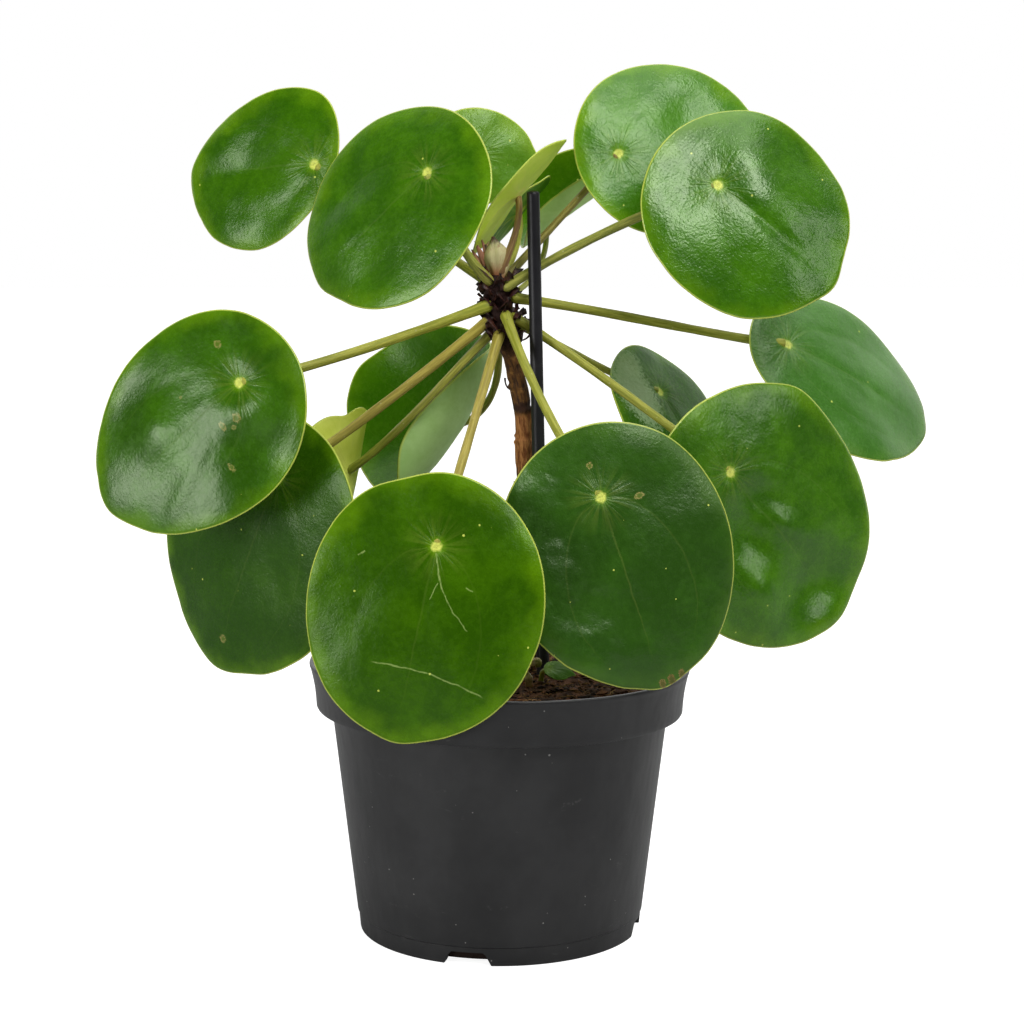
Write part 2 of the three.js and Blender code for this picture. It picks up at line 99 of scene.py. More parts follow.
def relief(x: Array, y: Array, seed: float) -> Array:
    """Smooth random relief over a plane, one bump a unit.

    Args:
        x: First coordinates.
        y: Second coordinates.
        seed: Picks the pattern.

    Returns:
        Heights between -1 and 1.
    """
    cell_x, cell_y = np.floor(x), np.floor(y)
    part_x, part_y = x - cell_x, y - cell_y

    def corner(step_x: int, step_y: int) -> Array:
        """Fixed random value of one corner of each point's cell."""
        mixed = np.sin((cell_x + step_x) * HASH_X + (cell_y + step_y) * HASH_Y + seed * HASH_SEED) * HASH_GAIN
        return mixed - np.floor(mixed)

    ease_x, ease_y = (part * part * (3 - 2 * part) for part in (part_x, part_y))
    near = corner(0, 0) * (1 - ease_x) + corner(1, 0) * ease_x
    far = corner(0, 1) * (1 - ease_x) + corner(1, 1) * ease_x
    return 2 * (near * (1 - ease_y) + far * ease_y) - 1


def layered(x: Array, y: Array, seed: float, layers: int = 3) -> Array:
    """Relief with finer layers added, each half as high as the one before.

    Args:
        x: First coordinates.
        y: Second coordinates.
        seed: Picks the pattern.
        layers: How many layers are added up.

    Returns:
        Heights about 0.
    """
    total = np.zeros_like(np.asarray(x, float))
    for layer in range(layers):
        total = total + relief(x * 2**layer, y * 2**layer, seed + LAYER_SHIFT * layer) / 2**layer
    return total


def direction(azimuth: float, elevation: float) -> Array:
    """Unit vector at an azimuth (0 front, 90 right) and an elevation, in degrees."""
    az, el = math.radians(azimuth), math.radians(elevation)
    return np.array([math.sin(az) * math.cos(el), -math.cos(az) * math.cos(el), math.sin(el)])


def turn_angles(count: int) -> Array:
    """Evenly spaced angles of one full turn, in radians."""
    return np.linspace(0, FULL_TURN, count, endpoint=False)


def run_along(line: Array) -> Array:
    """Distance from the start of a line to each of its points."""
    return np.append(0.0, np.cumsum(np.linalg.norm(np.diff(line, axis=0), axis=1)))


def angle_off(angles: Array, centre: float) -> Array:
    """Signed angle from a centre to each angle, the short way, in radians."""
    return np.arctan2(np.sin(angles - centre), np.cos(angles - centre))


def bezier(points: Sequence[Array], count: int) -> Array:
    """Points along a cubic Bezier curve.

    Args:
        points: Its four control points.
        count: How many points to give.

    Returns:
        An array of count rows.
    """
    t = np.linspace(0, 1, count)[:, None]
    a, b, c, d = (np.asarray(p, float) for p in points)
    return a * (1 - t) ** 3 + 3 * b * t * (1 - t) ** 2 + 3 * c * t * t * (1 - t) + d * t**3


def resampled(points: Sequence[Triple], count: int) -> Array:
    """Smooth line through a few points, given as count points at even steps.

    Args:
        points: Points that the line passes.
        count: How many points to give.

    Returns:
        An array of count rows.
    """
    knots = np.asarray(points, float)
    padded = np.vstack([2 * knots[0] - knots[1], knots, 2 * knots[-1] - knots[-2]])
    line = []
    for i in range(1, len(padded) - 2):
        p0, p1, p2, p3 = padded[i - 1 : i + 3]
        square, cube = 2 * p0 - 5 * p1 + 4 * p2 - p3, 3 * p1 - p0 - 3 * p2 + p3
        for t in np.linspace(0, 1, STEPS_BETWEEN_KNOTS, endpoint=False):
            line.append(0.5 * (2 * p1 + (p2 - p0) * t + square * t**2 + cube * t**3))
    line.append(padded[-2])
    dense = np.array(line)
    run = run_along(dense)
    even = np.linspace(0, run[-1], count)
    return np.column_stack([np.interp(even, run, dense[:, k]) for k in range(3)])


# --- Mesh helpers ---


@dataclass
class Shape:
    """Mesh in the making: points in mm, faces, and values kept at its points."""

    points: Array
    faces: list[tuple[int, ...]]
    slots: list[int] | None = None
    values: dict[str, Array] = field(default_factory=dict)

    def to_object(self, name: str, materials: Sequence[Material], flat: bool = False) -> Part:
        """Make the Blender object, in metres, at the origin.

        Args:
            name: Name of the piece.
            materials: Its finishes, in the order of the slots.
            flat: Whether its facets stay sharp.

        Returns:
            The new object, linked to the scene.
        """
        mesh = bpy.data.meshes.new(name)
        mesh.from_pydata((self.points * MM).tolist(), [], self.faces)
        for material in materials:
            mesh.materials.append(material)
        if self.slots is not None:
            mesh.polygons.foreach_set("material_index", self.slots)
        mesh.polygons.foreach_set("use_smooth", [not flat] * len(mesh.polygons))
        for key, kept in self.values.items():
            vector = kept.ndim == 2
            layer = mesh.attributes.new(key, "FLOAT_VECTOR" if vector else "FLOAT", "POINT")
            layer.data.foreach_set("vector" if vector else "value", kept.astype(np.float32).ravel())
        mesh.update()
        made = bpy.data.objects.new(name, mesh)
        bpy.context.scene.collection.objects.link(made)
        return made


def joined(shapes: Sequence[Shape]) -> Shape:
    """Several shapes of one finish as one.

    Args:
        shapes: The shapes, with the same kept values.

    Returns:
        Their meshes side by side, in the same order.
    """
    faces, start = [], 0
    for shape in shapes:
        faces += [tuple(start + i for i in face) for face in shape.faces]
        start += len(shape.points)
    values = {name: np.concatenate([shape.values[name] for shape in shapes]) for name in shapes[0].values}
    return Shape(np.vstack([shape.points for shape in shapes]), faces, None, values)


def point_normals(points: Array, faces: Array) -> Array:
    """Unit normal at each point of a mesh.

    Args:
        points: Its points.
        faces: Its faces, all quads or all triangles.

    Returns:
        A row for each point.
    """
    corners = [points[faces[:, k]] for k in range(faces.shape[1])]
    if len(corners) == 4:
        flat = np.cross(corners[2] - corners[0], corners[3] - corners[1])
    else:
        flat = np.cross(corners[1] - corners[0], corners[2] - corners[0])
    total = np.zeros_like(points)
    for k in range(faces.shape[1]):
        np.add.at(total, faces[:, k], flat)
    return total / np.maximum(np.linalg.norm(total, axis=1, keepdims=True), 1e-12)


def sweep(line: Array, radii: Array, sides: int, bumps: Array | None = None) -> Shape:
    """Closed rod along a line, with a low cone on each end.

    Args:
        line: Centre points in mm.
        radii: Radius at each of them.
        sides: Number of sides.
        bumps: Height added at each point and side, or None.

    Returns:
        The rod, with "run" (mm along it) and "round" (its section's direction) kept.
    """
    steps = len(line)
    tangent = np.gradient(line, axis=0)
    tangent /= np.linalg.norm(tangent, axis=1, keepdims=True)
    seed = np.array([0.0, 1.0, 0.0]) if abs(tangent[0][1]) < 0.9 else np.array([1.0, 0.0, 0.0])
    across = np.zeros_like(line)
    for i in range(steps):
        seed = seed - tangent[i] * seed.dot(tangent[i])
        seed /= np.linalg.norm(seed)
        across[i] = seed
    other = np.cross(tangent, across)
    angles = turn_angles(sides)
    cosines, sines = np.cos(angles), np.sin(angles)
    ring = cosines[None, :, None] * across[:, None, :] + sines[None, :, None] * other[:, None, :]
    reach = np.repeat(radii[:, None], sides, axis=1)
    if bumps is not None:
        reach = reach + bumps
    points = (line[:, None, :] + ring * reach[:, :, None]).reshape(-1, 3)
    faces = []
    for i in range(steps - 1):
        for k in range(sides):
            turn = (k + 1) % sides
            faces.append((i * sides + k, i * sides + turn, (i + 1) * sides + turn, (i + 1) * sides + k))
    run = run_along(line)
    first, last = len(points), len(points) + 1
    caps = line[0] - tangent[0] * radii[0] * CAP_SHARE, line[-1] + tangent[-1] * radii[-1] * CAP_SHARE
    points = np.vstack([points, *caps])
    for k in range(sides):
        turn = (k + 1) % sides
        faces.append((first, turn, k))
        faces.append((last, (steps - 1) * sides + k, (steps - 1) * sides + turn))
    section = np.column_stack([cosines, sines, np.zeros(sides)])
    values = {
        "run": np.concatenate([np.repeat(run, sides), [0.0, run[-1]]]),
        "round": np.vstack([np.tile(section, (steps, 1)), np.zeros((2, 3))]),
    }
    return Shape(points, faces, None, values)


def turned(profile: Sequence[Pair], sides: int) -> Shape:
    """Body turned about the upright axis.

    Args:
        profile: Radius and height of each ring, counter-clockwise in section from the axis's foot.
        sides: Number of sides.

    Returns:
        The turned body; rings of radius 0 are single points.
    """
    angles = turn_angles(sides)
    points: list[Triple] = []
    rings: list[list[int]] = []
    for radius, height in profile:
        if radius == 0:
            rings.append([len(points)] * sides)
            points.append((0.0, 0.0, height))
            continue
        rings.append([len(points) + k for k in range(sides)])
        points.extend((radius * math.cos(a), radius * math.sin(a), height) for a in angles)
    faces = []
    for low, high in zip(rings, rings[1:]):
        for k in range(sides):
            turn = (k + 1) % sides
            face = (low[k], low[turn], high[turn], high[k])
            faces.append(tuple(dict.fromkeys(face)))
    return Shape(np.array(points), faces)


# --- Node helpers ---


class Graph:
    """Adds shader nodes to one tree, a call a node."""

    def __init__(self, tree: Tree) -> None:
        """Work on the given node tree."""
        self.tree = tree

    def feed(self, socket: Socket, value: Feed) -> None:
        """Link a socket to another one, or set its plain value."""
        if isinstance(value, Socket):
            self.tree.links.new(value, socket)
        elif socket.type == "RGBA" and len(value) == 3:
            socket.default_value = (*value, 1.0)
        else:
            socket.default_value = value

    def add(self, kind: str, inputs: dict[str | int, Feed] | None = None, **settings: object) -> Node:
        """Add a node.

        Args:
            kind: Blender's name for the node.
            inputs: What its sockets are linked or set to.
            **settings: The node's own properties.

        Returns:
            The new node.
        """
        node = self.tree.nodes.new(kind)
        for name, setting in settings.items():
            setattr(node, name, setting)
        for name, value in (inputs or {}).items():
            self.feed(node.inputs[name], value)
        return node

    def math(self, operation: str, *values: Feed, clamp: bool = False) -> Socket:
        """Arithmetic on one to three values."""
        node = self.add("ShaderNodeMath", dict(enumerate(values)), operation=operation, use_clamp=clamp)
        return node.outputs[0]

    def plus(self, first: Feed, second: Feed, clamp: bool = False) -> Socket:
        """Sum of two values."""
        return self.math("ADD", first, second, clamp=clamp)

    def times(self, first: Feed, *others: Feed) -> Socket:
        """Product of two or more values."""
        for other in others:
            first = self.math("MULTIPLY", first, other)
        return first

    def spread(self, value: Feed, factor: float, start: float) -> Socket:
        """A value times a factor, added to a start."""
        return self.math("MULTIPLY_ADD", value, factor, start)

    def vector(self, operation: str, *values: Feed) -> Socket:
        """Arithmetic on vectors, with a vector result."""
        return self.add("ShaderNodeVectorMath", dict(enumerate(values)), operation=operation).outputs[0]

    def length(self, vector: Feed) -> Socket:
        """Length of a vector."""
        return self.add("ShaderNodeVectorMath", {0: vector}, operation="LENGTH").outputs["Value"]

    def dot(self, first: Feed, second: Feed) -> Socket:
        """Dot product of two vectors."""
        node = self.add("ShaderNodeVectorMath", {0: first, 1: second}, operation="DOT_PRODUCT")
        return node.outputs["Value"]

    def parts(self, vector: Feed) -> Sequence[Socket]:
        """The three parts of a vector."""
        return self.add("ShaderNodeSeparateXYZ", {0: vector}).outputs

    def scaled(self, value: Feed, factor: Feed) -> Socket:
        """A vector times a number."""
        return self.add("ShaderNodeVectorMath", {0: value, "Scale": factor}, operation="SCALE").outputs[0]

    def mix(self, share: Feed, first: Feed, second: Feed) -> Socket:
        """Colour between two colours."""
        node = self.add("ShaderNodeMix", {0: share, 6: first, 7: second}, data_type="RGBA")
        return node.outputs[2]

    def ease(self, value: Feed, low: Feed, high: Feed, to_low: Feed = 0.0, to_high: Feed = 1.0) -> Socket:
        """Smooth step of a value between two ends."""
        inputs = {"Value": value, "From Min": low, "From Max": high, "To Min": to_low, "To Max": to_high}
        return self.add("ShaderNodeMapRange", inputs, interpolation_type="SMOOTHSTEP").outputs[0]

    def noise(
        self, vector: Feed, scale: Feed, detail: float = 2.0, roughness: float = 0.5, distortion: float = 0.0
    ) -> Socket:
        """Cloudy pattern between 0 and 1."""
        names = ("Vector", "Scale", "Detail", "Roughness", "Distortion")
        inputs = dict(zip(names, (vector, scale, detail, roughness, distortion)))
        return self.add("ShaderNodeTexNoise", inputs).outputs[0]

    def attribute(self, name: str, output: str = "Fac") -> Socket:
        """Value kept at the mesh's points."""
        return self.add("ShaderNodeAttribute", attribute_name=name).outputs[output]


class Effect(Enum):
    """Shader effects that several finishes share, by the name of their node group."""

    SPECKS = "Pale specks"
    CLOUDS = "Cloudy mottle"
    WRINKLES = "Fine wrinkles"
    SPOT = "Round spot"
    SCRATCH = "Bowed scratch"
    STREAKS = "Long streaks"
    VEINS = "Blade veins"
    UPPER = "Blade upper skin"
    UNDER = "Blade underside skin"


class EffectLibrary:
    """Builds each shared node group once, and places it in materials."""

    def __init__(self) -> None:
        """Start with no group built."""
        self.built: dict[Effect, Tree] = {}

    def place(self, graph: Graph, effect: Effect, inputs: dict[str, Feed]) -> Node:
        """Place an effect in a material.

        Args:
            graph: The material's graph.
            effect: Which effect.
            inputs: Its values there.

        Returns:
            The group node, whose outputs are named.
        """
        if effect not in self.built:
            self.built[effect] = getattr(self, "_" + effect.name.lower())()
        node = graph.tree.nodes.new("ShaderNodeGroup")
        node.node_tree = self.built[effect]
        for name, value in inputs.items():
            graph.feed(node.inputs[name], value)
        return node

    @staticmethod
    def _start(
        effect: Effect, inputs: dict[str, Feed], *outputs: str
    ) -> tuple[Graph, dict[str, Socket], Node]:
        """Make an empty group with its named sockets.

        Args:
            effect: The effect that the group makes.
            inputs: Default of each input: a number, or 3 or 4 of them for a vector or a colour.
            *outputs: Name of each output; all but Color are numbers.

        Returns:
            Its graph, its input sockets by name, and its output node.
        """
        tree = bpy.data.node_groups.new(effect.value, "ShaderNodeTree")
        for name, default in inputs.items():
            kind = "Float"
            if isinstance(default, tuple):
                kind = "Vector" if len(default) == 3 else "Color"
            socket = tree.interface.new_socket(name, in_out="INPUT", socket_type="NodeSocket" + kind)
            socket.default_value = default
        for name in outputs:
            kind = "Color" if name == "Color" else "Float"
            tree.interface.new_socket(name, in_out="OUTPUT", socket_type="NodeSocket" + kind)
        graph = Graph(tree)
        entry = graph.add("NodeGroupInput")
        leave = graph.add("NodeGroupOutput")
        return graph, {socket.name: socket for socket in entry.outputs}, leave

    def _clouded(self, graph: Graph, place: Feed, size: float, high: float) -> Socket:
        """Cloudy mottle at a place, in a skin's graph."""
        inputs = {"Vector": place, "Size": size, "Low": 0.35, "High": high}
        return self.place(graph, Effect.CLOUDS, inputs).outputs[0]

    def _wrinkled(self, graph: Graph, place: Feed, size: Feed, depth: Feed) -> Socket:
        """Height of the fine wrinkles at a place, in a skin's graph."""
        return self.place(graph, Effect.WRINKLES, {"Vector": place, "Size": size, "Depth": depth}).outputs[0]

    def _veined(self, graph: Graph, given: dict[str, Socket], width: float) -> Sequence[Socket]:
        """Midrib, side veins and rays, in a skin's graph."""
        inputs = {name: given[name] for name in ("Flat", "Reach", "Spread")}
        return self.place(graph, Effect.VEINS, inputs | {"Width": width}).outputs

    def _specks(self) -> Tree:
        """Small pale grains that lie on a surface here and there."""
        graph, given, leave = self._start(
            Effect.SPECKS, {"Vector": ORIGIN, "Spacing": 3.0, "Size": 0.1, "Amount": 0.3}, "Mask"
        )
        place = graph.scaled(given["Vector"], graph.math("DIVIDE", 1.0, given["Spacing"]))
        cells = graph.add("ShaderNodeTexVoronoi", {"Vector": place, "Scale": 1.0})
        pick = graph.add("ShaderNodeSeparateColor", {0: cells.outputs["Color"]})
        size = graph.times(given["Size"], graph.plus(pick.outputs[1], 0.3))
        dot = graph.math("LESS_THAN", cells.outputs["Distance"], size)
        chosen = graph.math("LESS_THAN", pick.outputs[0], given["Amount"])
        graph.feed(leave.inputs["Mask"], graph.times(dot, chosen))
        return graph.tree

    def _clouds(self) -> Tree:
        """Soft blotches of two tones."""
        graph, given, leave = self._start(
            Effect.CLOUDS, {"Vector": ORIGIN, "Size": 20.0, "Low": 0.4, "High": 0.6}, "Mask"
        )
        cloud = graph.noise(given["Vector"], graph.math("DIVIDE", 1.0, given["Size"]), 4.0, 0.6, 0.3)
        graph.feed(leave.inputs["Mask"], graph.ease(cloud, given["Low"], given["High"]))
        return graph.tree

    def _wrinkles(self) -> Tree:
        """Leathery cells and fine wrinkles, as a height."""
        graph, given, leave = self._start(
            Effect.WRINKLES, {"Vector": ORIGIN, "Size": 1.2, "Depth": 0.05}, "Height"
        )
        rate = graph.math("DIVIDE", 1.0, given["Size"])
        warp = graph.add("ShaderNodeTexNoise", {"Vector": given["Vector"], "Scale": rate, "Detail": 1.0})
        warped = graph.scaled(warp.outputs["Color"], 1.4)
        place = graph.vector("ADD", graph.scaled(given["Vector"], rate), warped)
        cell_inputs = {"Vector": place, "Scale": 1.0, "Smoothness": 0.8}
        cells = graph.add("ShaderNodeTexVoronoi", cell_inputs, feature="SMOOTH_F1")
        soft = graph.noise(given["Vector"], graph.times(rate, 0.45), 3.0, 0.6)
        both = graph.plus(graph.times(cells.outputs["Distance"], -0.6), soft)
        graph.feed(leave.inputs["Height"], graph.times(both, given["Depth"]))
        return graph.tree

    def _spot(self) -> Tree:
        """One round mark with a darker rim, slightly ragged."""
        graph, given, leave = self._start(
            Effect.SPOT,
            {"Vector": ORIGIN, "Centre": ORIGIN, "Radius": 1.0, "Stretch": 1.0},
            "Mask", "Ring",
        )
        away = graph.vector("SUBTRACT", given["Vector"], given["Centre"])
        parts = graph.parts(away)
        x = graph.times(parts[0], given["Stretch"])
        span = graph.math("SQRT", graph.plus(graph.math("POWER", x, 2.0), graph.math("POWER", parts[1], 2.0)))
        share = graph.math("DIVIDE", span, given["Radius"])
        share = graph.plus(share, graph.spread(graph.noise(given["Vector"], 0.9, 4.0, 0.7), 1.8, -0.9))
        graph.feed(leave.inputs["Mask"], graph.ease(share, 1.1, 0.7))
        broken = graph.ease(graph.noise(given["Vector"], 2.6, 2.0), 0.4, 0.55)
        ring = graph.times(graph.ease(share, 1.2, 0.95), graph.ease(share, 0.45, 0.8), broken)
        graph.feed(leave.inputs["Ring"], ring)
        return graph.tree

    def _scratch(self) -> Tree:
        """One thin bowed scratch between two points."""
        graph, given, leave = self._start(
            Effect.SCRATCH,
            {"Vector": ORIGIN, "Start": ORIGIN, "End": (10.0, 0.0, 0.0), "Bow": 1.0, "Width": 0.2},
            "Mask",
        )
        reach = graph.vector("SUBTRACT", given["End"], given["Start"])
        away = graph.vector("SUBTRACT", given["Vector"], given["Start"])
        length = graph.length(reach)
        run = graph.math("DIVIDE", graph.dot(away, reach), graph.times(length, length))
        aside = graph.vector("CROSS_PRODUCT", reach, (0.0, 0.0, 1.0))
        off = graph.math("DIVIDE", graph.dot(away, aside), length)
        bow = graph.times(given["Bow"], graph.math("SINE", graph.times(run, math.pi)))
        wobble = graph.spread(graph.noise(given["Vector"], 0.25, 2.0), 1.2, -0.6)
        gap = graph.math("ABSOLUTE", graph.plus(graph.math("SUBTRACT", off, bow), wobble))
        line = graph.ease(gap, given["Width"], graph.times(given["Width"], 0.4))
        ends = graph.times(graph.ease(run, 0.0, 0.06), graph.ease(run, 1.0, 0.94))
        worn = graph.ease(graph.noise(given["Vector"], 0.8, 2.0), 0.2, 0.6, 0.35, 1.0)
        graph.feed(leave.inputs["Mask"], graph.times(line, ends, worn))
        return graph.tree

    def _streaks(self) -> Tree:
        """Streaks that run along a rod, from its run and its section's direction."""
        graph, given, leave = self._start(
            Effect.STREAKS,
            {"Round": ORIGIN, "Run": 0.0, "Fineness": 3.0, "Stretch": 0.05, "Seed": 0.0},
            "Mask",
        )
        parts = graph.parts(graph.scaled(given["Round"], given["Fineness"]))
        up = graph.plus(graph.times(given["Run"], given["Stretch"]), given["Seed"])
        place = graph.add("ShaderNodeCombineXYZ", {0: parts[0], 1: parts[1], 2: up}).outputs[0]
        graph.feed(leave.inputs["Mask"], graph.noise(place, 1.0, 4.0, 0.6))
        return graph.tree

    def _veins(self) -> Tree:
        """Midrib, side veins and rays of a round blade, from its flat coordinates about the hub."""
        graph, given, leave = self._start(
            Effect.VEINS,
            {"Flat": ORIGIN, "Reach": 50.0, "Spread": 18.0, "Width": 0.3},
            "Midrib", "Laterals", "Rays",
        )
        wobble = graph.spread(graph.noise(given["Flat"], 0.12, 2.0), 3.0, -1.5)
        along, across = graph.parts(given["Flat"])[:2]
        run = graph.math("DIVIDE", along, given["Reach"])
        near = graph.math("MINIMUM", graph.math("ABSOLUTE", run), 1.0)
        thin = graph.times(given["Width"], graph.spread(near, -0.7, 1.0))
        bend = graph.times(wobble, near)
        centre = graph.math("ABSOLUTE", graph.plus(across, bend))
        forward = graph.ease(along, -0.5, 0.5)
        inside = graph.math("MAXIMUM", graph.math("MINIMUM", run, 1.0), 0.0)
        bulge = graph.math("SQRT", graph.math("SINE", graph.times(inside, math.pi)))
        curve = graph.times(given["Spread"], bulge)
        gap = graph.math("SUBTRACT", graph.math("ABSOLUTE", across), curve)
        beside = graph.math("ABSOLUTE", graph.plus(gap, bend))
        for name, off, fade in (("Midrib", centre, (0.98, 0.5)), ("Laterals", beside, (0.95, 0.6))):
            vein = graph.ease(off, graph.times(thin, 2.0), graph.times(thin, 0.5))
            graph.feed(leave.inputs[name], graph.times(vein, forward, graph.ease(run, *fade)))
        span = graph.math("MAXIMUM", graph.length(given["Flat"]), 0.01)
        unit = graph.scaled(given["Flat"], graph.math("DIVIDE", 1.0, span))
        place = graph.vector("ADD", graph.scaled(unit, 4.0), graph.scaled(given["Flat"], 0.03))
        ray = graph.noise(place, 1.6, 2.0)
        graph.feed(leave.inputs["Rays"], graph.ease(ray, 0.42, 0.62))
        return graph.tree

    def _upper(self) -> Tree:
        """Glossy upper skin of a blade."""
        graph, given, leave = self._start(
            Effect.UPPER,
            {
                "Flat": ORIGIN, "Edge": 10.0, "Seed": ORIGIN, "Reach": 50.0, "Spread": 18.0,
                "Deep": (0.0, 0.1, 0.0, 1.0), "Fresh": (0.1, 0.3, 0.0, 1.0), "Border": (0.4, 0.5, 0.1, 1.0),
                "Pale": (0.7, 0.8, 0.3, 1.0), "Mottling": 0.5, "Yellowing": 0.5, "Veining": 0.3,
                "Gloss roughness": 0.35, "Wrinkle size": 1.2, "Wrinkle depth": 0.05,
            },
            "Color", "Roughness", "Height",
        )
        place = graph.vector("ADD", given["Flat"], given["Seed"])
        broad = self._clouded(graph, place, 17.0, 0.7)
        fine = graph.noise(place, 0.55, 4.0, 0.65)
        tone = graph.plus(graph.times(broad, given["Mottling"]), graph.spread(fine, 0.7, -0.35), clamp=True)
        colour = graph.mix(tone, given["Deep"], given["Fresh"])
        ring = graph.plus(given["Edge"], graph.spread(graph.noise(place, 0.09, 3.0), 16.0, -8.0))
        fade = graph.times(graph.ease(ring, 7.0, -3.0), given["Yellowing"])
        colour = graph.mix(fade, colour, given["Border"])
        midrib, laterals, rays = self._veined(graph, given, 0.28)
        span = graph.length(given["Flat"])
        colour = graph.mix(graph.times(rays, graph.ease(span, 13.0, 2.0), 0.06), colour, given["Pale"])
        lines = graph.plus(midrib, graph.times(laterals, 0.5))
        colour = graph.mix(graph.times(lines, given["Veining"]), colour, given["Pale"])
        wobbly = graph.plus(span, graph.spread(graph.noise(place, 0.9, 2.0), 1.2, -0.6))
        glow = graph.times(graph.ease(wobbly, 4.0, 0.8), 0.7)
        colour = graph.mix(glow, colour, given["Border"])
        colour = graph.mix(graph.ease(wobbly, 2.1, 1.0), colour, given["Pale"])
        colour = graph.mix(graph.times(graph.ease(given["Edge"], 0.4, 0.1), 0.6), colour, given["Pale"])
        colour = graph.mix(graph.times(specked(graph, place, 4.5, 0.07, 0.22), 0.7), colour, given["Pale"])
        graph.feed(leave.inputs["Color"], colour)
        rough = graph.plus(given["Gloss roughness"], graph.spread(fine, 0.2, -0.1))
        graph.feed(leave.inputs["Roughness"], graph.plus(rough, graph.times(lines, 0.08)))
        wrinkles = self._wrinkled(graph, place, given["Wrinkle size"], given["Wrinkle depth"])
        ribs = graph.times(rays, graph.times(graph.ease(span, 16.0, 3.0), 0.055))
        height = graph.plus(wrinkles, ribs)
        groove = graph.times(lines, graph.times(given["Veining"], -0.12))
        graph.feed(leave.inputs["Height"], graph.plus(height, groove))
        return graph.tree

    def _under(self) -> Tree:
        """Pale matt underside of a blade, with raised veins."""
        graph, given, leave = self._start(
            Effect.UNDER,
            {
                "Flat": ORIGIN, "Edge": 10.0, "Seed": ORIGIN, "Reach": 50.0, "Spread": 18.0,
                "Deep": (0.1, 0.3, 0.1, 1.0), "Fresh": (0.2, 0.4, 0.2, 1.0), "Rib": (0.4, 0.5, 0.2, 1.0),
            },
            "Color", "Roughness", "Height",
        )
        place = graph.vector("ADD", given["Flat"], given["Seed"])
        broad = self._clouded(graph, place, 14.0, 0.65)
        fine = graph.noise(place, 0.6, 4.0, 0.65)
        tone = graph.plus(graph.times(broad, 0.6), graph.spread(fine, 0.8, -0.3), clamp=True)
        colour = graph.mix(tone, given["Deep"], given["Fresh"])
        midrib, laterals, rays = self._veined(graph, given, 0.55)
        lines = graph.plus(midrib, graph.times(laterals, 0.8), clamp=True)
        colour = graph.mix(graph.times(lines, 0.3), colour, given["Rib"])
        span = graph.length(given["Flat"])
        rays = graph.times(rays, graph.ease(span, 26.0, 3.0))
        colour = graph.mix(graph.times(rays, 0.18), colour, given["Rib"])
        colour = graph.mix(graph.ease(span, 4.0, 1.5), colour, given["Rib"])
        colour = graph.mix(graph.times(graph.ease(given["Edge"], 0.7, 0.2), 0.5), colour, given["Rib"])
        graph.feed(leave.inputs["Color"], colour)
        graph.feed(leave.inputs["Roughness"], graph.spread(fine, 0.15, 0.42))
        raised = graph.times(graph.plus(lines, graph.times(rays, 0.5)), 0.12)
        graph.feed(leave.inputs["Height"], graph.plus(self._wrinkled(graph, place, 1.6, 0.04), raised))
        return graph.tree


EFFECTS = EffectLibrary()


def specked(graph: Graph, place: Feed, spacing: float, size: float, amount: float) -> Socket:
    """Share of pale specks at a place, in a graph."""
    inputs = {"Vector": place, "Spacing": spacing, "Size": size, "Amount": amount}
    return EFFECTS.place(graph, Effect.SPECKS, inputs).outputs[0]


def streaked(graph: Graph, fineness: float, stretch: float, seed: float) -> Socket:
    """Streaks along a rod, in a material's graph, from the values kept at the rod's points."""
    run, around = graph.attribute("run"), graph.attribute("round", "Vector")
    inputs = {"Round": around, "Run": run, "Fineness": fineness, "Stretch": stretch, "Seed": seed}
    return EFFECTS.place(graph, Effect.STREAKS, inputs).outputs[0]


def new_material(name: str) -> tuple[Material, Graph, Node]:
    """Make a material with a bare Principled shader.

    Args:
        name: Name of the finish.

    Returns:
        The material, its graph and its shader node.
    """
    material = bpy.data.materials.new(name)
    material.use_nodes = True
    graph = Graph(material.node_tree)
    return material, graph, material.node_tree.nodes["Principled BSDF"]


def paint(graph: Graph, shader: Node, colour: Feed, roughness: Feed, shine: float, height: Feed) -> None:
    """Set the look of a shader.

    Args:
        graph: The material's graph.
        shader: Its Principled shader.
        colour: Base colour.
        roughness: Roughness, from 0 to 1.
        shine: Level of its plain reflection; 0.5 is that of glassy plastic.
        height: Height in mm that its surface seems raised by.
    """
    bump = graph.add("ShaderNodeBump", {"Height": height, "Distance": MM, "Strength": 1.0}).outputs[0]
    look = {"Base Color": colour, "Roughness": roughness, "Specular IOR Level": shine, "Normal": bump}
    for name, value in look.items():
        graph.feed(shader.inputs[name], value)


def in_mm(graph: Graph) -> Socket:
    """Place on the object, in mm."""
    return graph.scaled(graph.add("ShaderNodeTexCoord").outputs["Object"], 1 / MM)


# --- Finishes ---


@dataclass(frozen=True)
class Mark:
    """Dry scar on a blade, also used for broad pale patches of painted sheen (leaf 17): its place from the
    hub, in mm, its radius, stretch and two colours.
    """

    along: float
    across: float
    radius: float
    stretch: float = 1.0
    core: str = "6b7a2c"
    rim: str = "a89a5c"


@dataclass(frozen=True)
class Scratch:
    """Thin pale scratch on a blade, between two places from the hub, in mm."""

    start: Pair
    end: Pair
    bow: float = 1.0
    width: float = 0.25


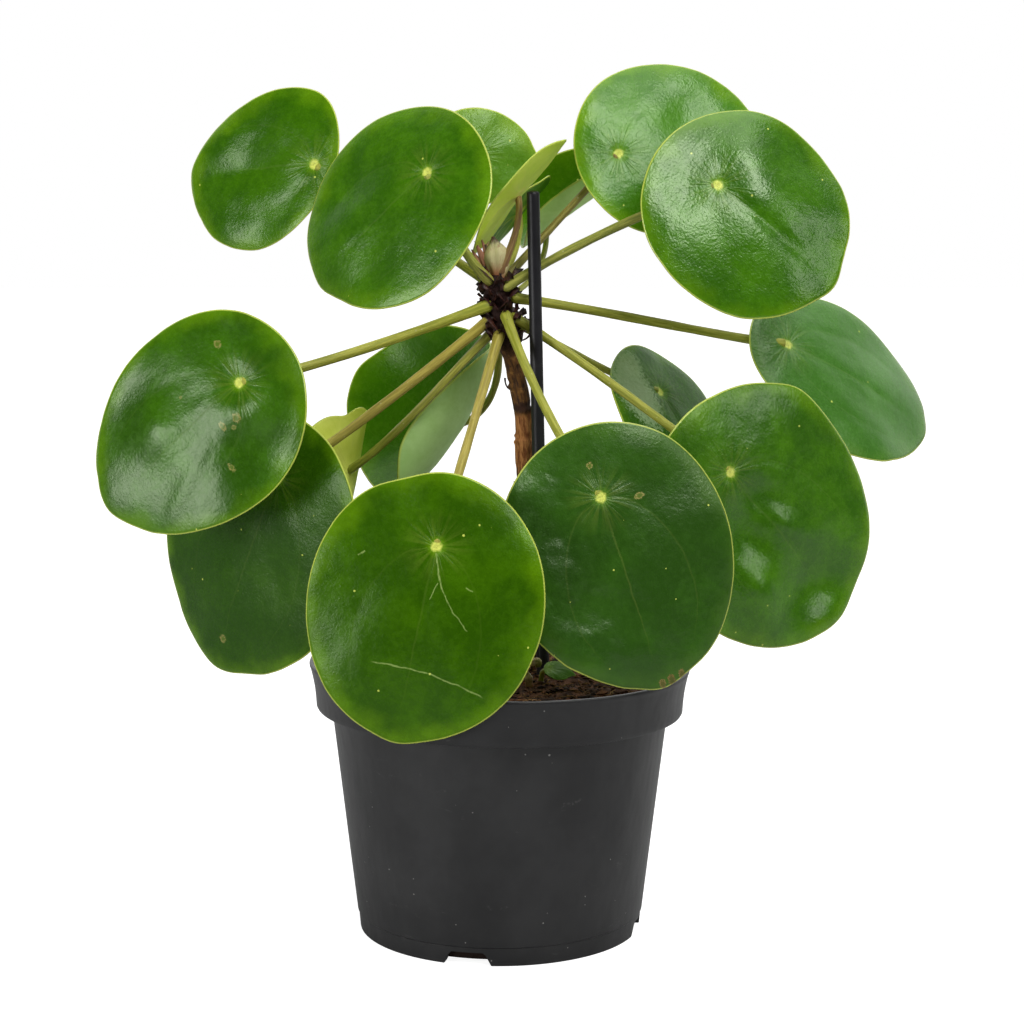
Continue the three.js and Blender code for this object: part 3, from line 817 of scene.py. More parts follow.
@dataclass(frozen=True)
class BladeFinish:
    """Look of one blade's two sides."""

    deep: str = "2b5200"
    fresh: str = "467400"
    border: str = "71a008"
    pale: str = "dfe86a"
    under_deep: str = "64903f"
    under_fresh: str = "8bb062"
    mottling: float = 0.5
    yellowing: float = 0.5
    veining: float = 0.02
    gloss: float = 0.27
    shine: float = 0.45
    wrinkle_size: float = 0.8
    wrinkle_depth: float = 0.08
    marks: tuple[Mark, ...] = ()
    scratches: tuple[Scratch, ...] = ()

    UNDER_SHINE = 0.25
    REFLECTION_TINT = (0.86, 1.0, 0.72)
    SCRATCH_COLOUR = "b9cf7a"
    CORE_SHARE, RIM_SHARE, SCRATCH_SHARE = 0.55, 0.75, 0.42

    def upper(self, name: str, seed: float, reach: float, spread: float) -> Material:
        """Make the upper side's material.

        Args:
            name: Name of the blade.
            seed: Moves the patterns, so that no two blades match.
            reach: Distance from the hub to the tip, in mm.
            spread: How far the side veins swing out, in mm.

        Returns:
            The material.
        """
        material, graph, shader = new_material(name + "_upper_skin")
        flat = graph.attribute("flat", "Vector")
        skin = EFFECTS.place(graph, Effect.UPPER, {
            "Flat": flat, "Edge": graph.attribute("edge"), "Seed": (seed * 37.0, seed * -23.0, seed * 11.0),
            "Reach": reach, "Spread": spread, "Deep": srgb(self.deep), "Fresh": srgb(self.fresh),
            "Border": srgb(self.border), "Pale": srgb(self.pale), "Mottling": self.mottling,
            "Yellowing": self.yellowing, "Veining": self.veining, "Gloss roughness": self.gloss,
            "Wrinkle size": self.wrinkle_size, "Wrinkle depth": self.wrinkle_depth,
        })
        colour = skin.outputs["Color"]
        # Scars, and on some blades broad pale patches of painted sheen.
        for mark in self.marks:
            centre = (mark.along, mark.across, 0.0)
            inputs = {"Vector": flat, "Centre": centre, "Radius": mark.radius, "Stretch": mark.stretch}
            spot = EFFECTS.place(graph, Effect.SPOT, inputs)
            colour = graph.mix(graph.times(spot.outputs["Mask"], self.CORE_SHARE), colour, srgb(mark.core))
            colour = graph.mix(graph.times(spot.outputs["Ring"], self.RIM_SHARE), colour, srgb(mark.rim))
        for scratch in self.scratches:
            ends = {"Start": (*scratch.start, 0.0), "End": (*scratch.end, 0.0)}
            inputs = {"Vector": flat, "Bow": scratch.bow, "Width": scratch.width} | ends
            line = EFFECTS.place(graph, Effect.SCRATCH, inputs).outputs["Mask"]
            colour = graph.mix(graph.times(line, self.SCRATCH_SHARE), colour, srgb(self.SCRATCH_COLOUR))
        graph.feed(shader.inputs["Specular Tint"], self.REFLECTION_TINT)
        paint(graph, shader, colour, skin.outputs["Roughness"], self.shine, skin.outputs["Height"])
        return material

    def under(self, name: str, seed: float, reach: float, spread: float) -> Material:
        """Make the underside's material, with the same arguments as the upper side's."""
        material, graph, shader = new_material(name + "_underside")
        skin = EFFECTS.place(graph, Effect.UNDER, {
            "Flat": graph.attribute("flat", "Vector"), "Edge": graph.attribute("edge"),
            "Seed": (seed * 17.0, seed * 29.0, 0.0), "Reach": reach, "Spread": spread,
            "Deep": srgb(self.under_deep), "Fresh": srgb(self.under_fresh), "Rib": srgb(self.pale),
        })
        colour, roughness, height = skin.outputs
        paint(graph, shader, colour, roughness, self.UNDER_SHINE, height)
        return material


@dataclass(frozen=True)
class StalkFinish:
    """Look of a leaf stalk, from the crown to the blade."""

    foot: str = "8f962c"
    middle: str = "88922a"
    tip: str = "939c34"

    DARK_STREAK, LIGHT_STREAK, SPECK = "4f5a1c", "c6c05c", "d2cf9a"
    SHINE = 0.28

    def build(self, name: str, length: float, seed: float) -> Material:
        """Make the material.

        Args:
            name: Name of the stalk.
            length: Its length in mm.
            seed: Moves the streaks.

        Returns:
            The material.
        """
        material, graph, shader = new_material(name + "_skin")
        share = graph.math("DIVIDE", graph.attribute("run"), length)
        colour = graph.mix(graph.ease(share, 0.0, 0.35), srgb(self.foot), srgb(self.middle))
        colour = graph.mix(graph.ease(share, 0.6, 1.0), colour, srgb(self.tip))
        streaks = streaked(graph, 2.4, 0.12, seed)
        dark = graph.mix(0.3, colour, srgb(self.DARK_STREAK))
        light = graph.mix(0.35, colour, srgb(self.LIGHT_STREAK))
        colour = graph.mix(graph.ease(streaks, 0.35, 0.65), dark, light)
        specks = specked(graph, in_mm(graph), 1.6, 0.16, 0.25)
        colour = graph.mix(graph.times(specks, 0.35), colour, srgb(self.SPECK))
        paint(graph, shader, colour, graph.spread(streaks, 0.2, 0.36), self.SHINE, graph.times(streaks, 0.18))
        return material


@dataclass(frozen=True)
class PlasticFinish:
    """Black moulded plastic, scuffed and a little dusty."""

    name: str
    colour: str = "121213"
    roughness: float = 0.38
    dust: float = 0.5
    shine: float = 0.55

    SCUFF, SPECK = "9c9a98", "b9b6b2"
    FADING = 0.012

    def build(self) -> Material:
        """Make the material."""
        material, graph, shader = new_material(self.name)
        place = in_mm(graph)
        broad = graph.noise(place, 0.03, 4.0, 0.6)
        grain = graph.noise(place, 1.6, 3.0, 0.6)
        black = srgb(self.colour)
        colour = graph.mix(graph.ease(broad, 0.35, 0.7), black, graph.mix(self.FADING, black, WHITE))
        flat = graph.vector("MULTIPLY", place, (0.05, 0.05, 0.22))
        rubbed = graph.ease(graph.noise(flat, 1.0, 6.0, 0.72, 0.8), 0.6, 0.8)
        breaks = graph.ease(graph.noise(place, 0.9, 3.0, 0.7), 0.45, 0.62)
        scuffs = graph.times(rubbed, breaks, self.dust)
        colour = graph.mix(graph.times(scuffs, 0.55), colour, srgb(self.SCUFF))
        for specks in ((2.6, 0.07, 0.12), (7.0, 0.045, 0.35)):
            dots = graph.times(specked(graph, place, *specks), self.dust)
            colour = graph.mix(dots, colour, srgb(self.SPECK))
        rough = graph.plus(graph.spread(grain, 0.1, self.roughness - 0.05), graph.times(scuffs, 0.25))
        waves = graph.times(graph.noise(graph.vector("MULTIPLY", place, (0.09, 0.09, 0.05)), 1.0, 2.0), 0.5)
        paint(graph, shader, colour, rough, self.shine, graph.plus(graph.times(grain, 0.02), waves))
        return material


@dataclass(frozen=True)
class EarthFinish:
    """Dark damp peat, by the tone kept at its points."""

    name: str
    dark: str = "21130c"
    light: str = "805438"

    ROUGHNESS, SHINE = 0.92, 0.25

    def build(self) -> Material:
        """Make the material."""
        material, graph, shader = new_material(self.name)
        place = in_mm(graph)
        grain = graph.noise(place, 1.1, 5.0, 0.7)
        tone = graph.plus(graph.attribute("tone"), graph.spread(grain, 1.2, -0.6), clamp=True)
        colour = graph.mix(tone, srgb(self.dark), srgb(self.light))
        paint(graph, shader, colour, self.ROUGHNESS, self.SHINE, graph.times(grain, 0.5))
        return material


@dataclass(frozen=True)
class BarkFinish:
    """Fissured bark with a dark ring, a paler torn patch below it and a dark top, by the run in mm."""

    name: str
    dark: str = "2c190c"
    brown: str = "6e481c"
    light: str = "9a6c34"
    patch: Pair = (88.0, 105.5)
    ring: float = 108.0
    top: float = 126.0

    TORN_DARK, TORN_LIGHT, SHADE = "7a4318", "c98a50", "2a120c"
    SHINE = 0.3

    def build(self) -> Material:
        """Make the material."""
        material, graph, shader = new_material(self.name)
        run = graph.attribute("run")
        streaks = streaked(graph, 3.5, 0.25, 4.0)
        blots = graph.noise(in_mm(graph), 0.35, 4.0, 0.65)
        colour = graph.mix(graph.ease(streaks, 0.3, 0.7), srgb(self.dark), srgb(self.brown))
        colour = graph.mix(graph.ease(blots, 0.5, 0.75), colour, srgb(self.light))
        colour = graph.mix(graph.ease(blots, 0.42, 0.25), colour, srgb(self.dark))
        low, high = self.patch
        ragged = graph.plus(run, graph.spread(streaks, 6.0, -3.0))
        inside = graph.times(graph.ease(ragged, low - 1, low + 1), graph.ease(ragged, high + 1, high - 1))
        torn = graph.mix(graph.ease(streaks, 0.35, 0.65), srgb(self.TORN_DARK), srgb(self.TORN_LIGHT))
        colour = graph.mix(graph.times(inside, 0.8), colour, torn)
        from_ring = graph.math("ABSOLUTE", graph.math("SUBTRACT", ragged, self.ring))
        shades = graph.ease(from_ring, 2.6, 0.8, 0.0, 0.85), graph.ease(ragged, self.top - 4, self.top + 3)
        for shade in shades:
            colour = graph.mix(shade, colour, srgb(self.SHADE))
        height = graph.plus(graph.times(streaks, 0.7), graph.times(blots, 0.3))
        paint(graph, shader, colour, graph.spread(streaks, 0.25, 0.6), self.SHINE, height)
        return material


@dataclass(frozen=True)
class SheathFinish:
    """Thin dry or fresh sheath, from its foot to its tip."""

    name: str
    foot: str
    middle: str
    tip: str
    roughness: float = 0.55

    SHINE = 0.5

    def build(self) -> Material:
        """Make the material, by the run kept at its points, from 0 to 1."""
        material, graph, shader = new_material(self.name)
        veined = graph.noise(graph.vector("MULTIPLY", in_mm(graph), (1.6, 1.6, 0.35)), 1.0, 4.0, 0.6)
        moved = graph.plus(graph.attribute("run"), graph.spread(veined, 0.3, -0.15))
        colour = graph.mix(graph.ease(moved, 0.05, 0.5), srgb(self.foot), srgb(self.middle))
        colour = graph.mix(graph.ease(moved, 0.72, 0.97), colour, srgb(self.tip))
        colour = graph.mix(graph.times(graph.ease(veined, 0.5, 0.7), 0.4), colour, srgb(self.foot))
        paint(graph, shader, colour, self.roughness, self.SHINE, graph.times(veined, 0.2))
        return material


# --- Leaves ---


@dataclass(frozen=True)
class Fold:
    """Soft ridge (above 0) or valley in a blade, along a ray from the hub.

    turn is the ray's angle from the tip in degrees, height and width are in mm,
    and near and far are the shares of the way to the margin where it runs.
    """

    turn: float
    height: float
    width: float
    near: float = 0.0
    far: float = 1.3


@dataclass(frozen=True)
class Tilt:
    """Part of a blade that leans its own way.

    along and across are its place from the hub and rise_along and rise_across its slopes; blister is the
    height of its blisters, and stretch is how many times longer it is along the ray from the hub.
    """

    along: float
    across: float
    radius: float
    rise_along: float
    rise_across: float
    blister: float = 0.0
    stretch: float = 1.0

    BLISTER_SIZE = 3.4


@dataclass(frozen=True)
class Dent:
    """Notch (below 0) or bulge of a blade's margin: turn and half width in degrees, depth in mm."""

    turn: float
    depth: float
    width: float


@dataclass(frozen=True)
class BladeForm:
    """Shape of one peltate blade, in the frame's millimetres."""

    hub: Triple
    facing: Pair
    tip_turn: float
    size: Pair
    hub_share: float
    bend: Pair
    phase: float
    ovate: float = 0.06
    skew: float = 0.0
    back_curl: float = 1.0
    quilt: float = 0.1
    quilt_size: float = 6.0
    crease: float = 0.1
    dimple: float = 0.5
    wave: float = 0.012
    folds: tuple[Fold, ...] = ()
    tilts: tuple[Tilt, ...] = ()
    dents: tuple[Dent, ...] = ()
    half_thickness: float = 0.4
    spokes: int = 144
    rings: int = 34

    TIP_LENGTH, TIP_HALF_ANGLE = 1.5, 0.22
    LOBES, LOBE_SHARE = 3, 0.012
    WAVES = 5
    MARGIN_SHARE = 0.975
    RING_CROWDING = 0.92
    CRINKLE = 0.006
    HUB_REACH = 7.0
    DIMPLE_RADIUS = 2.6
    RIM_SHARE = 0.62
    RIM_REACH = 3.0
    VEIN_SPREAD = 0.27

    @property
    def reach(self) -> float:
        """Distance from the hub to the tip."""
        return (1 - self.hub_share) * self.size[0]

    @property
    def spread(self) -> float:
        """How far the side veins swing out."""
        return self.VEIN_SPREAD * self.size[1]

    def matrix(self) -> Array:
        """Rows of the blade's own axes: tip, side and upper normal."""
        azimuth, elevation = self.facing
        normal = direction(azimuth, elevation)
        downhill = direction(azimuth, elevation - 90)
        level = np.cross(normal, downhill)
        turn = math.radians(self.tip_turn)
        tip = downhill * math.cos(turn) + level * math.sin(turn)
        return np.array([tip, np.cross(normal, tip), normal])

    def flat_outline(self, angle: Array) -> tuple[Array, Array]:
        """Margin of the blade laid flat.

        Args:
            angle: Angle of each spoke from the tip, in radians.

        Returns:
            How far along and across from the hub the margin lies.
        """
        length, width = self.size
        from_tip = angle_off(angle, 0.0)
        tip = self.TIP_LENGTH * np.exp(-((from_tip / self.TIP_HALF_ANGLE) ** 2))
        lobe = 1 + self.LOBE_SHARE * np.sin(self.LOBES * angle + self.phase)
        for dent in self.dents:
            away = np.degrees(angle_off(angle, math.radians(dent.turn)))
            lobe = lobe + dent.depth / (0.5 * width) * np.exp(-((away / dent.width) ** 2))
        crinkle = layered(angle * 9 / math.pi + 40, np.full_like(angle, self.phase), self.phase, 3)
        closing = smooth(np.abs(from_tip), 0, 0.3) * smooth(math.pi - np.abs(from_tip), 0, 0.3)
        lobe = lobe + self.CRINKLE * crinkle * closing
        along = lobe * ((0.5 - self.hub_share) * length + 0.5 * length * np.cos(angle) + tip)
        across = lobe * 0.5 * width * np.sin(angle) * (1 - self.ovate * np.cos(angle))
        return along + self.skew * across, across

    def vein_relief(self, along: Array, across: Array) -> Array:
        """Creases along the midrib and the two side veins on each side.

        Args:
            along: Flat place from the hub, towards the tip.
            across: Flat place to the side.

        Returns:
            Height of the crease at each place, at most 0.
        """
        run, aside, wide = np.clip(along / self.reach, -1, 1), np.abs(across), self.size[1]
        width = 1.1 + 1.5 * (1 - np.abs(run))
        forward = smooth(along, -1, 2)
        midrib = np.exp(-((across / width) ** 2)) * forward * smooth(run, 1.0, 0.55)
        curve = self.spread * np.sqrt(np.sin(math.pi * np.clip(run, 0, 1)))
        lateral = np.exp(-(((aside - curve) / (0.8 * width)) ** 2)) * forward * smooth(run, 0.95, 0.6)
        back = along + 0.35 * aside
        upper = np.exp(-((back / width) ** 2)) * smooth(aside, 0, 3) * smooth(aside, 0.42 * wide, 0.2 * wide)
        return -(midrib + 0.6 * lateral + 0.45 * upper)

    def fold_height(self, fold: Fold, along: Array, across: Array, share: Array) -> Array:
        """Rise of one fold.

        Args:
            fold: The fold.
            along: Flat places from the hub, towards the tip.
            across: Flat places to the side.
            share: How much of the way to the margin they lie at.

        Returns:
            Height at each place, in mm.
        """
        ray = math.radians(fold.turn)
        ahead = along * math.cos(ray) + across * math.sin(ray)
        off = -along * math.sin(ray) + across * math.cos(ray)
        line = np.exp(-((off / fold.width) ** 2)) * smooth(ahead, -0.4 * fold.width, 1.2 * fold.width)
        begun = smooth(share, fold.near - 0.15, fold.near + 0.15)
        return fold.height * line * begun * smooth(share, fold.far + 0.2, fold.far - 0.2)

    def tilt_height(self, tilt: Tilt, along: Array, across: Array) -> Array:
        """Rise of one tilted part.

        Args:
            tilt: The tilted part.
            along: Flat places from the hub, towards the tip.
            across: Flat places to the side.

        Returns:
            Height at each place, in mm.
        """
        ahead, off = along - tilt.along, across - tilt.across
        ray = math.atan2(tilt.across, tilt.along)
        outward = ahead * math.cos(ray) + off * math.sin(ray)
        sideways = off * math.cos(ray) - ahead * math.sin(ray)
        near = np.exp(-((outward / tilt.stretch) ** 2 + sideways**2) / tilt.radius**2)
        bubbles = layered(along / tilt.BLISTER_SIZE, across / tilt.BLISTER_SIZE, self.phase, 2)
        return (tilt.rise_along * ahead + tilt.rise_across * off + tilt.blister * bubbles) * near

    def surface(self) -> tuple[Array, Array, Array]:
        """Middle surface of the blade about its hub.

        Returns:
            Its points, their flat coordinates and distance from the margin, hub first, then by rings.
        """
        inner = np.linspace(0, self.MARGIN_SHARE, self.rings)[1:] ** self.RING_CROWDING
        shares = np.append(inner * self.MARGIN_SHARE / inner[-1], 1.0)
        angles = turn_angles(self.spokes)
        share = np.concatenate([[0.0], np.repeat(shares, self.spokes)])
        angle = np.concatenate([[0.0], np.tile(angles, len(shares))])
        margin_along, margin_across = self.flat_outline(angle)
        along, across = share * margin_along, share * margin_across
        edge = (1 - share) * np.hypot(margin_along, margin_across)
        points = np.zeros((len(share), 3))
        height = np.zeros(len(share))
        for axis, (length, flat) in enumerate(((self.size[0], along), (self.size[1], across))):
            curl = np.where((flat < 0) & (axis == 0), self.back_curl, 1.0)
            curvature = math.radians(self.bend[axis]) / length * curl
            points[:, axis] = np.sin(curvature * flat) / curvature
            height += (1 - np.cos(curvature * flat)) / curvature
        height += self.wave * self.size[1] * share**2 * np.sin(self.WAVES * angle + self.phase)
        calm = smooth(edge, 0.0, 3.0) * 0.7 + 0.3
        cells = layered(along / self.quilt_size, across / self.quilt_size, self.phase, 3)
        height += self.quilt * calm * cells
        height += self.crease * self.vein_relief(along, across) * smooth(edge, 0, 6)
        height -= self.dimple * np.exp(-((np.hypot(along, across) / self.DIMPLE_RADIUS) ** 2))
        for fold in self.folds:
            height += self.fold_height(fold, along, across, share)
        off_hub = 1 - np.exp(-(along**2 + across**2) / self.HUB_REACH**2)
        for tilt in self.tilts:
            height += self.tilt_height(tilt, along, across) * off_hub
        points[:, 2] = height
        return points, np.column_stack([along, across, np.zeros(len(along))]), edge

    def shape(self) -> Shape:
        """Closed blade with a rounded margin; slot 0 is its upper side, slot 1 its underside."""
        points, flat, edge = self.surface()
        spokes, rings = self.spokes, self.rings
        quads = []
        for ring in range(rings - 1):
            for k in range(spokes):
                turn = (k + 1) % spokes
                low, high = 1 + ring * spokes, 1 + (ring + 1) * spokes
                quads.append((low + k, high + k, high + turn, low + turn))
        fan = [(0, 1 + k, 1 + (k + 1) % spokes) for k in range(spokes)]
        normals = point_normals(points, np.array(quads))
        normals[0] = point_normals(points, np.array(fan))[0]
        rim_thin = self.RIM_SHARE + (1 - self.RIM_SHARE) * smooth(edge, 0, self.RIM_REACH)
        thin = self.half_thickness * rim_thin[:, None]
        count = len(points)
        last = 1 + (rings - 1) * spokes
        outward = points[last:] - points[last - spokes : last]
        outward /= np.linalg.norm(outward, axis=1, keepdims=True)
        rim = points[last:] + outward * self.half_thickness * 0.5
        top, bottom = points + normals * thin, points - normals * thin
        placed = np.vstack([top, bottom, rim]) @ self.matrix() + np.array(self.hub)
        upper = fan + quads
        lower = [tuple(reversed([count + i for i in face])) for face in upper]
        side = []
        for k in range(spokes):
            turn = (k + 1) % spokes
            side.append((last + k, 2 * count + k, 2 * count + turn, last + turn))
            side.append((2 * count + k, count + last + k, count + last + turn, 2 * count + turn))
        slots = [0] * len(upper) + [1] * len(lower) + [0] * len(side)
        edges = np.concatenate([edge, edge, np.zeros(spokes)])
        values = {"flat": np.vstack([flat, flat, flat[last:]]), "edge": edges}
        return Shape(placed, upper + lower + side, slots, values)


@dataclass(frozen=True)
class StalkForm:
    """Shape of one leaf stalk, from its foot on the crown to the hub of its blade."""

    foot: float
    bow: Triple
    radius: float = 1.15
    seat: Pair = (0.0, 2.0)
    foot_flare: float = 0.42
    top_sink: float = 0.95

    NEAR_SHARE, FAR_SHARE = 0.36, 0.8
    FAR_BOW = 0.6
    TUCK = 3.5
    SIDES = 20
    FLARE_LENGTH = 6
    COLLAR, SWELL = 0.12, 0.04
    RIBS, RIB_DEPTH = 5, 0.035
    FOOT_POINTS = (1, 2, 3, 5, 7, 9)

    def line(self, hub: Triple, facing: Pair, count: int = 60) -> Array:
        """Centre line of the stalk.

        Args:
            hub: Where it meets its blade.
            facing: Azimuth and elevation that the blade faces.
            count: How many points to give.

        Returns:
            Its points, from the crown to just inside the blade.
        """
        end = np.array(hub)
        start = np.array([*self.seat, self.foot])
        bow = np.array(self.bow)
        under = -self.TUCK * direction(*facing)
        near = start + (end - start) * self.NEAR_SHARE + bow
        far = start + (end - start) * self.FAR_SHARE + self.FAR_BOW * bow + under
        full = bezier((start, near, far, end), 400)
        kept = full[np.linalg.norm(full - end, axis=1) >= self.top_sink]
        even = np.linspace(0, len(kept) - 1, count).round().astype(int)
        return kept[np.unique(np.append(even, self.FOOT_POINTS))]

    def shape(self, hub: Triple, facing: Pair, seed: float) -> Shape:
        """Rod with a swollen, rounded foot, faint ribs and a small collar under the blade.

        Args:
            hub: Where it meets its blade.
            facing: Azimuth and elevation that the blade faces.
            seed: Picks its ribs and swellings.

        Returns:
            The rod.
        """
        line = self.line(hub, facing)
        run = run_along(line)
        share = run / run[-1]
        round_off = np.sqrt(1 - np.clip(1 - run / (1.5 * self.radius), 0, 1) ** 2 * 0.93)
        flare = self.foot_flare * np.exp(-run / self.FLARE_LENGTH)
        radii = self.radius * (1 + flare + self.COLLAR * smooth(share, 0.9, 1.0)) * round_off
        ribs = self.RIB_DEPTH * self.radius * np.cos(self.RIBS * turn_angles(self.SIDES) + seed)[None, :]
        swell = self.SWELL * self.radius * layered(share * 9, np.full_like(share, seed), seed)[:, None]
        return sweep(line, radii, self.SIDES, ribs + swell)


@dataclass(frozen=True)
class Leaf:
    """One leaf: its number, the shape and look of its blade, and those of its stalk."""

    number: int
    blade: BladeForm
    stalk: StalkForm
    skin: BladeFinish
    stalk_skin: StalkFinish

    @property
    def name(self) -> str:
        """Name that the leaf's pieces begin with."""
        return f"leaf_{self.number:02d}"

    def build(self) -> None:
        """Build, dress and seat the stalk and the blade."""
        seed, petiole = float(self.number), self.name + "_petiole"
        rod = self.stalk.shape(self.blade.hub, self.blade.facing, seed)
        length = float(rod.values["run"].max())
        stalk = rod.to_object(petiole, [self.stalk_skin.build(petiole, length, seed)])
        settle(stalk, "stalk", self.name + "_stalk")
        veins = self.blade.reach, self.blade.spread
        sides = [make(self.name, seed, *veins) for make in (self.skin.upper, self.skin.under)]
        blade = self.blade.shape().to_object(self.name + "_lamina", sides)
        settle(blade, "leaf", self.name + "_blade")


def settle(piece: Part, slot: str, *nodes: str) -> None:
    """Fix a piece to the frame's body, log its slot and hide the nodes it stands for.

    Args:
        piece: The finished piece.
        slot: The record's material slot.
        *nodes: Nodes of the frame that it replaces.
    """
    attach(piece, "root")
    if nodes:
        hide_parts(*nodes)
    points = len(piece.data.vertices)
    LOG.info("%s: %d points, slot %s, stands for %s", piece.name, points, slot, nodes or "no node")


@dataclass
class Foliage:
    """All leaves of the plant, from the top down."""

    leaves: list[Leaf] = field(default_factory=list)

    def build(self) -> None:
        """Build every leaf."""
        for leaf in self.leaves:
            leaf.build()


# --- Pot, soil and stake ---


@dataclass
class Pot:
    """Thin-walled nursery pot; its sizes are the frame's, in mm."""

    height: float = 85.0
    rim_radius: float = 60.0
    rim_lip: float = 1.4
    collar_foot: float = 71.0
    collar_foot_radius: float = 57.9
    collar_hollow: float = 0.35
    body_top_radius: float = 53.1
    step_height: float = 6.0
    step_depth: float = 0.4
    foot_radius: float = 44.7
    wall: float = 1.3
    channel_inner: float = 25.0
    channel_outer: float = 40.0
    channel_rise: float = 2.0
    lean_slope: float = 0.02
    lean_from: float = 20.0
    lean_to: float = 70.0
    notch_angles: tuple[float, ...] = (-12.5, 77.5, 167.5, 257.5)
    notch_width: float = 14.8
    notch_top_width: float = 9.7
    notch_height: float = 4.2
    drain_count: int = 8
    drain_ring: float = 32.5
    drain_radius: float = 3.0
    crease_angle: float = 32.0
    sides: int = 192
    finish: PlasticFinish = PlasticFinish("pot_plastic")

    def lean(self, points: Array) -> Array:
        """Slope the upper part down to the right, as the soft pot has sagged."""
        leaned = points.copy()
        leaned[:, 2] -= self.lean_slope * points[:, 0] * smooth(points[:, 2], self.lean_from, self.lean_to)
        return leaned

    def profile(self) -> list[Pair]:
        """Section of the shell, up the outside and down the inside."""
        outer, inner, rise = self.channel_outer, self.channel_inner, self.channel_rise
        foot, step, collar, depth = self.foot_radius, self.step_height, self.collar_foot, self.step_depth
        section = [
            (0.0, 0.0), (inner - 1, 0.0), (inner, rise), (outer, rise), (outer + 1, 0.0), (foot - 0.5, 0.0),
            (foot - 0.1, 0.15), (foot, 0.6), (foot + depth, step - 0.7), (foot + depth, step - 0.3),
            (foot + 2 * depth, step + 0.1), (foot + 2 * depth + 0.1, step + 1),
        ]
        top, low, rim, high = self.body_top_radius, self.collar_foot_radius, self.rim_radius, self.height
        for s in np.linspace(0.06, 1, 22):
            section.append((foot + 0.9 + (top - foot - 0.9) * s, step + 1 + (collar - step - 1.6) * s))
        ledge = [(low - 0.9, collar - 0.5), (low - 0.3, collar - 0.3), (low, collar + 0.2)]
        section += [(top + 0.3, collar - 0.5), *ledge]
        for s in np.linspace(0.1, 1, 10):
            hollow = self.collar_hollow * math.sin(math.pi * s)
            section.append((low + (rim - 0.3 - low) * s - hollow, collar + 0.2 + (high - collar - 1.8) * s))
        lip, wall = rim - self.rim_lip, self.wall
        section += [
            (rim - 0.05, high - 1.1), (rim, high - 0.6), (rim - 0.15, high - 0.2), (rim - 0.45, high),
            (lip + 0.35, high), (lip, high - 0.3), (low - wall, collar + wall + 0.4),
            (top - wall, collar + 0.6), (top - wall, collar - 2.6), (foot + depth - wall, 4.0),
            (foot - depth - wall, wall), (outer + 1, wall), (outer, rise + wall),
            (inner, rise + wall), (inner - 1, wall), (0.0, wall),
        ]
        return section

    def cutters(self) -> list[Part]:
        """Wedges of the foot's notches and rods of the floor's drain holes."""
        made = []
        half, top, high = self.notch_width / 2, self.notch_top_width / 2, self.notch_height
        right = [(half, -1), (half, 0), (top + 0.9, high - 0.8), (top, high)]
        outline = [(-half, -1), *right, *((-x, y) for x, y in reversed(right[1:]))]
        for azimuth in self.notch_angles:
            front, back = -self.foot_radius - 2, -self.foot_radius + 6
            points = np.array([(x, y, z) for y in (front, back) for x, z in outline])
            count = len(outline)
            faces = [tuple(range(count)), tuple(reversed(range(count, 2 * count)))]
            faces += [(k, k + count, (k + 1) % count + count, (k + 1) % count) for k in range(count)]
            turn = np.array(Matrix.Rotation(math.radians(azimuth), 3, "Z"))
            made.append(Shape(points @ turn.T, faces).to_object("notch_cutter", [], True))
        for i in range(self.drain_count):
            place = direction((i + 0.5) * 360 / self.drain_count, 0) * self.drain_ring
            rod = turned([(0, -2), (self.drain_radius, -2), (self.drain_radius, 9), (0, 9)], 40)
            made.append(Shape(rod.points + place, rod.faces).to_object("drain_cutter", [], True))
        return made

    def build(self) -> None:
        """Build, cut and dress the pot."""
        shell = turned(self.profile(), self.sides)
        pot = shell.to_object("nursery_pot", [self.finish.build()])
        tools = self.cutters()
        for tool in tools:
            cut = pot.modifiers.new("cut", "BOOLEAN")
            cut.operation, cut.solver, cut.object = "DIFFERENCE", "EXACT", tool
        bpy.context.view_layer.update()
        done = bpy.data.meshes.new_from_object(pot.evaluated_get(bpy.context.evaluated_depsgraph_get()))
        pot.modifiers.clear()
        pot.data = done
        for tool in tools:
            bpy.data.objects.remove(tool)
        places = np.zeros(len(done.vertices) * 3)
        done.vertices.foreach_get("co", places)
        done.vertices.foreach_set("co", (self.lean(places.reshape(-1, 3) / MM) * MM).ravel())
        done.shade_smooth()
        done.set_sharp_from_angle(angle=math.radians(self.crease_angle))
        settle(pot, "pot_plastic", "pot")


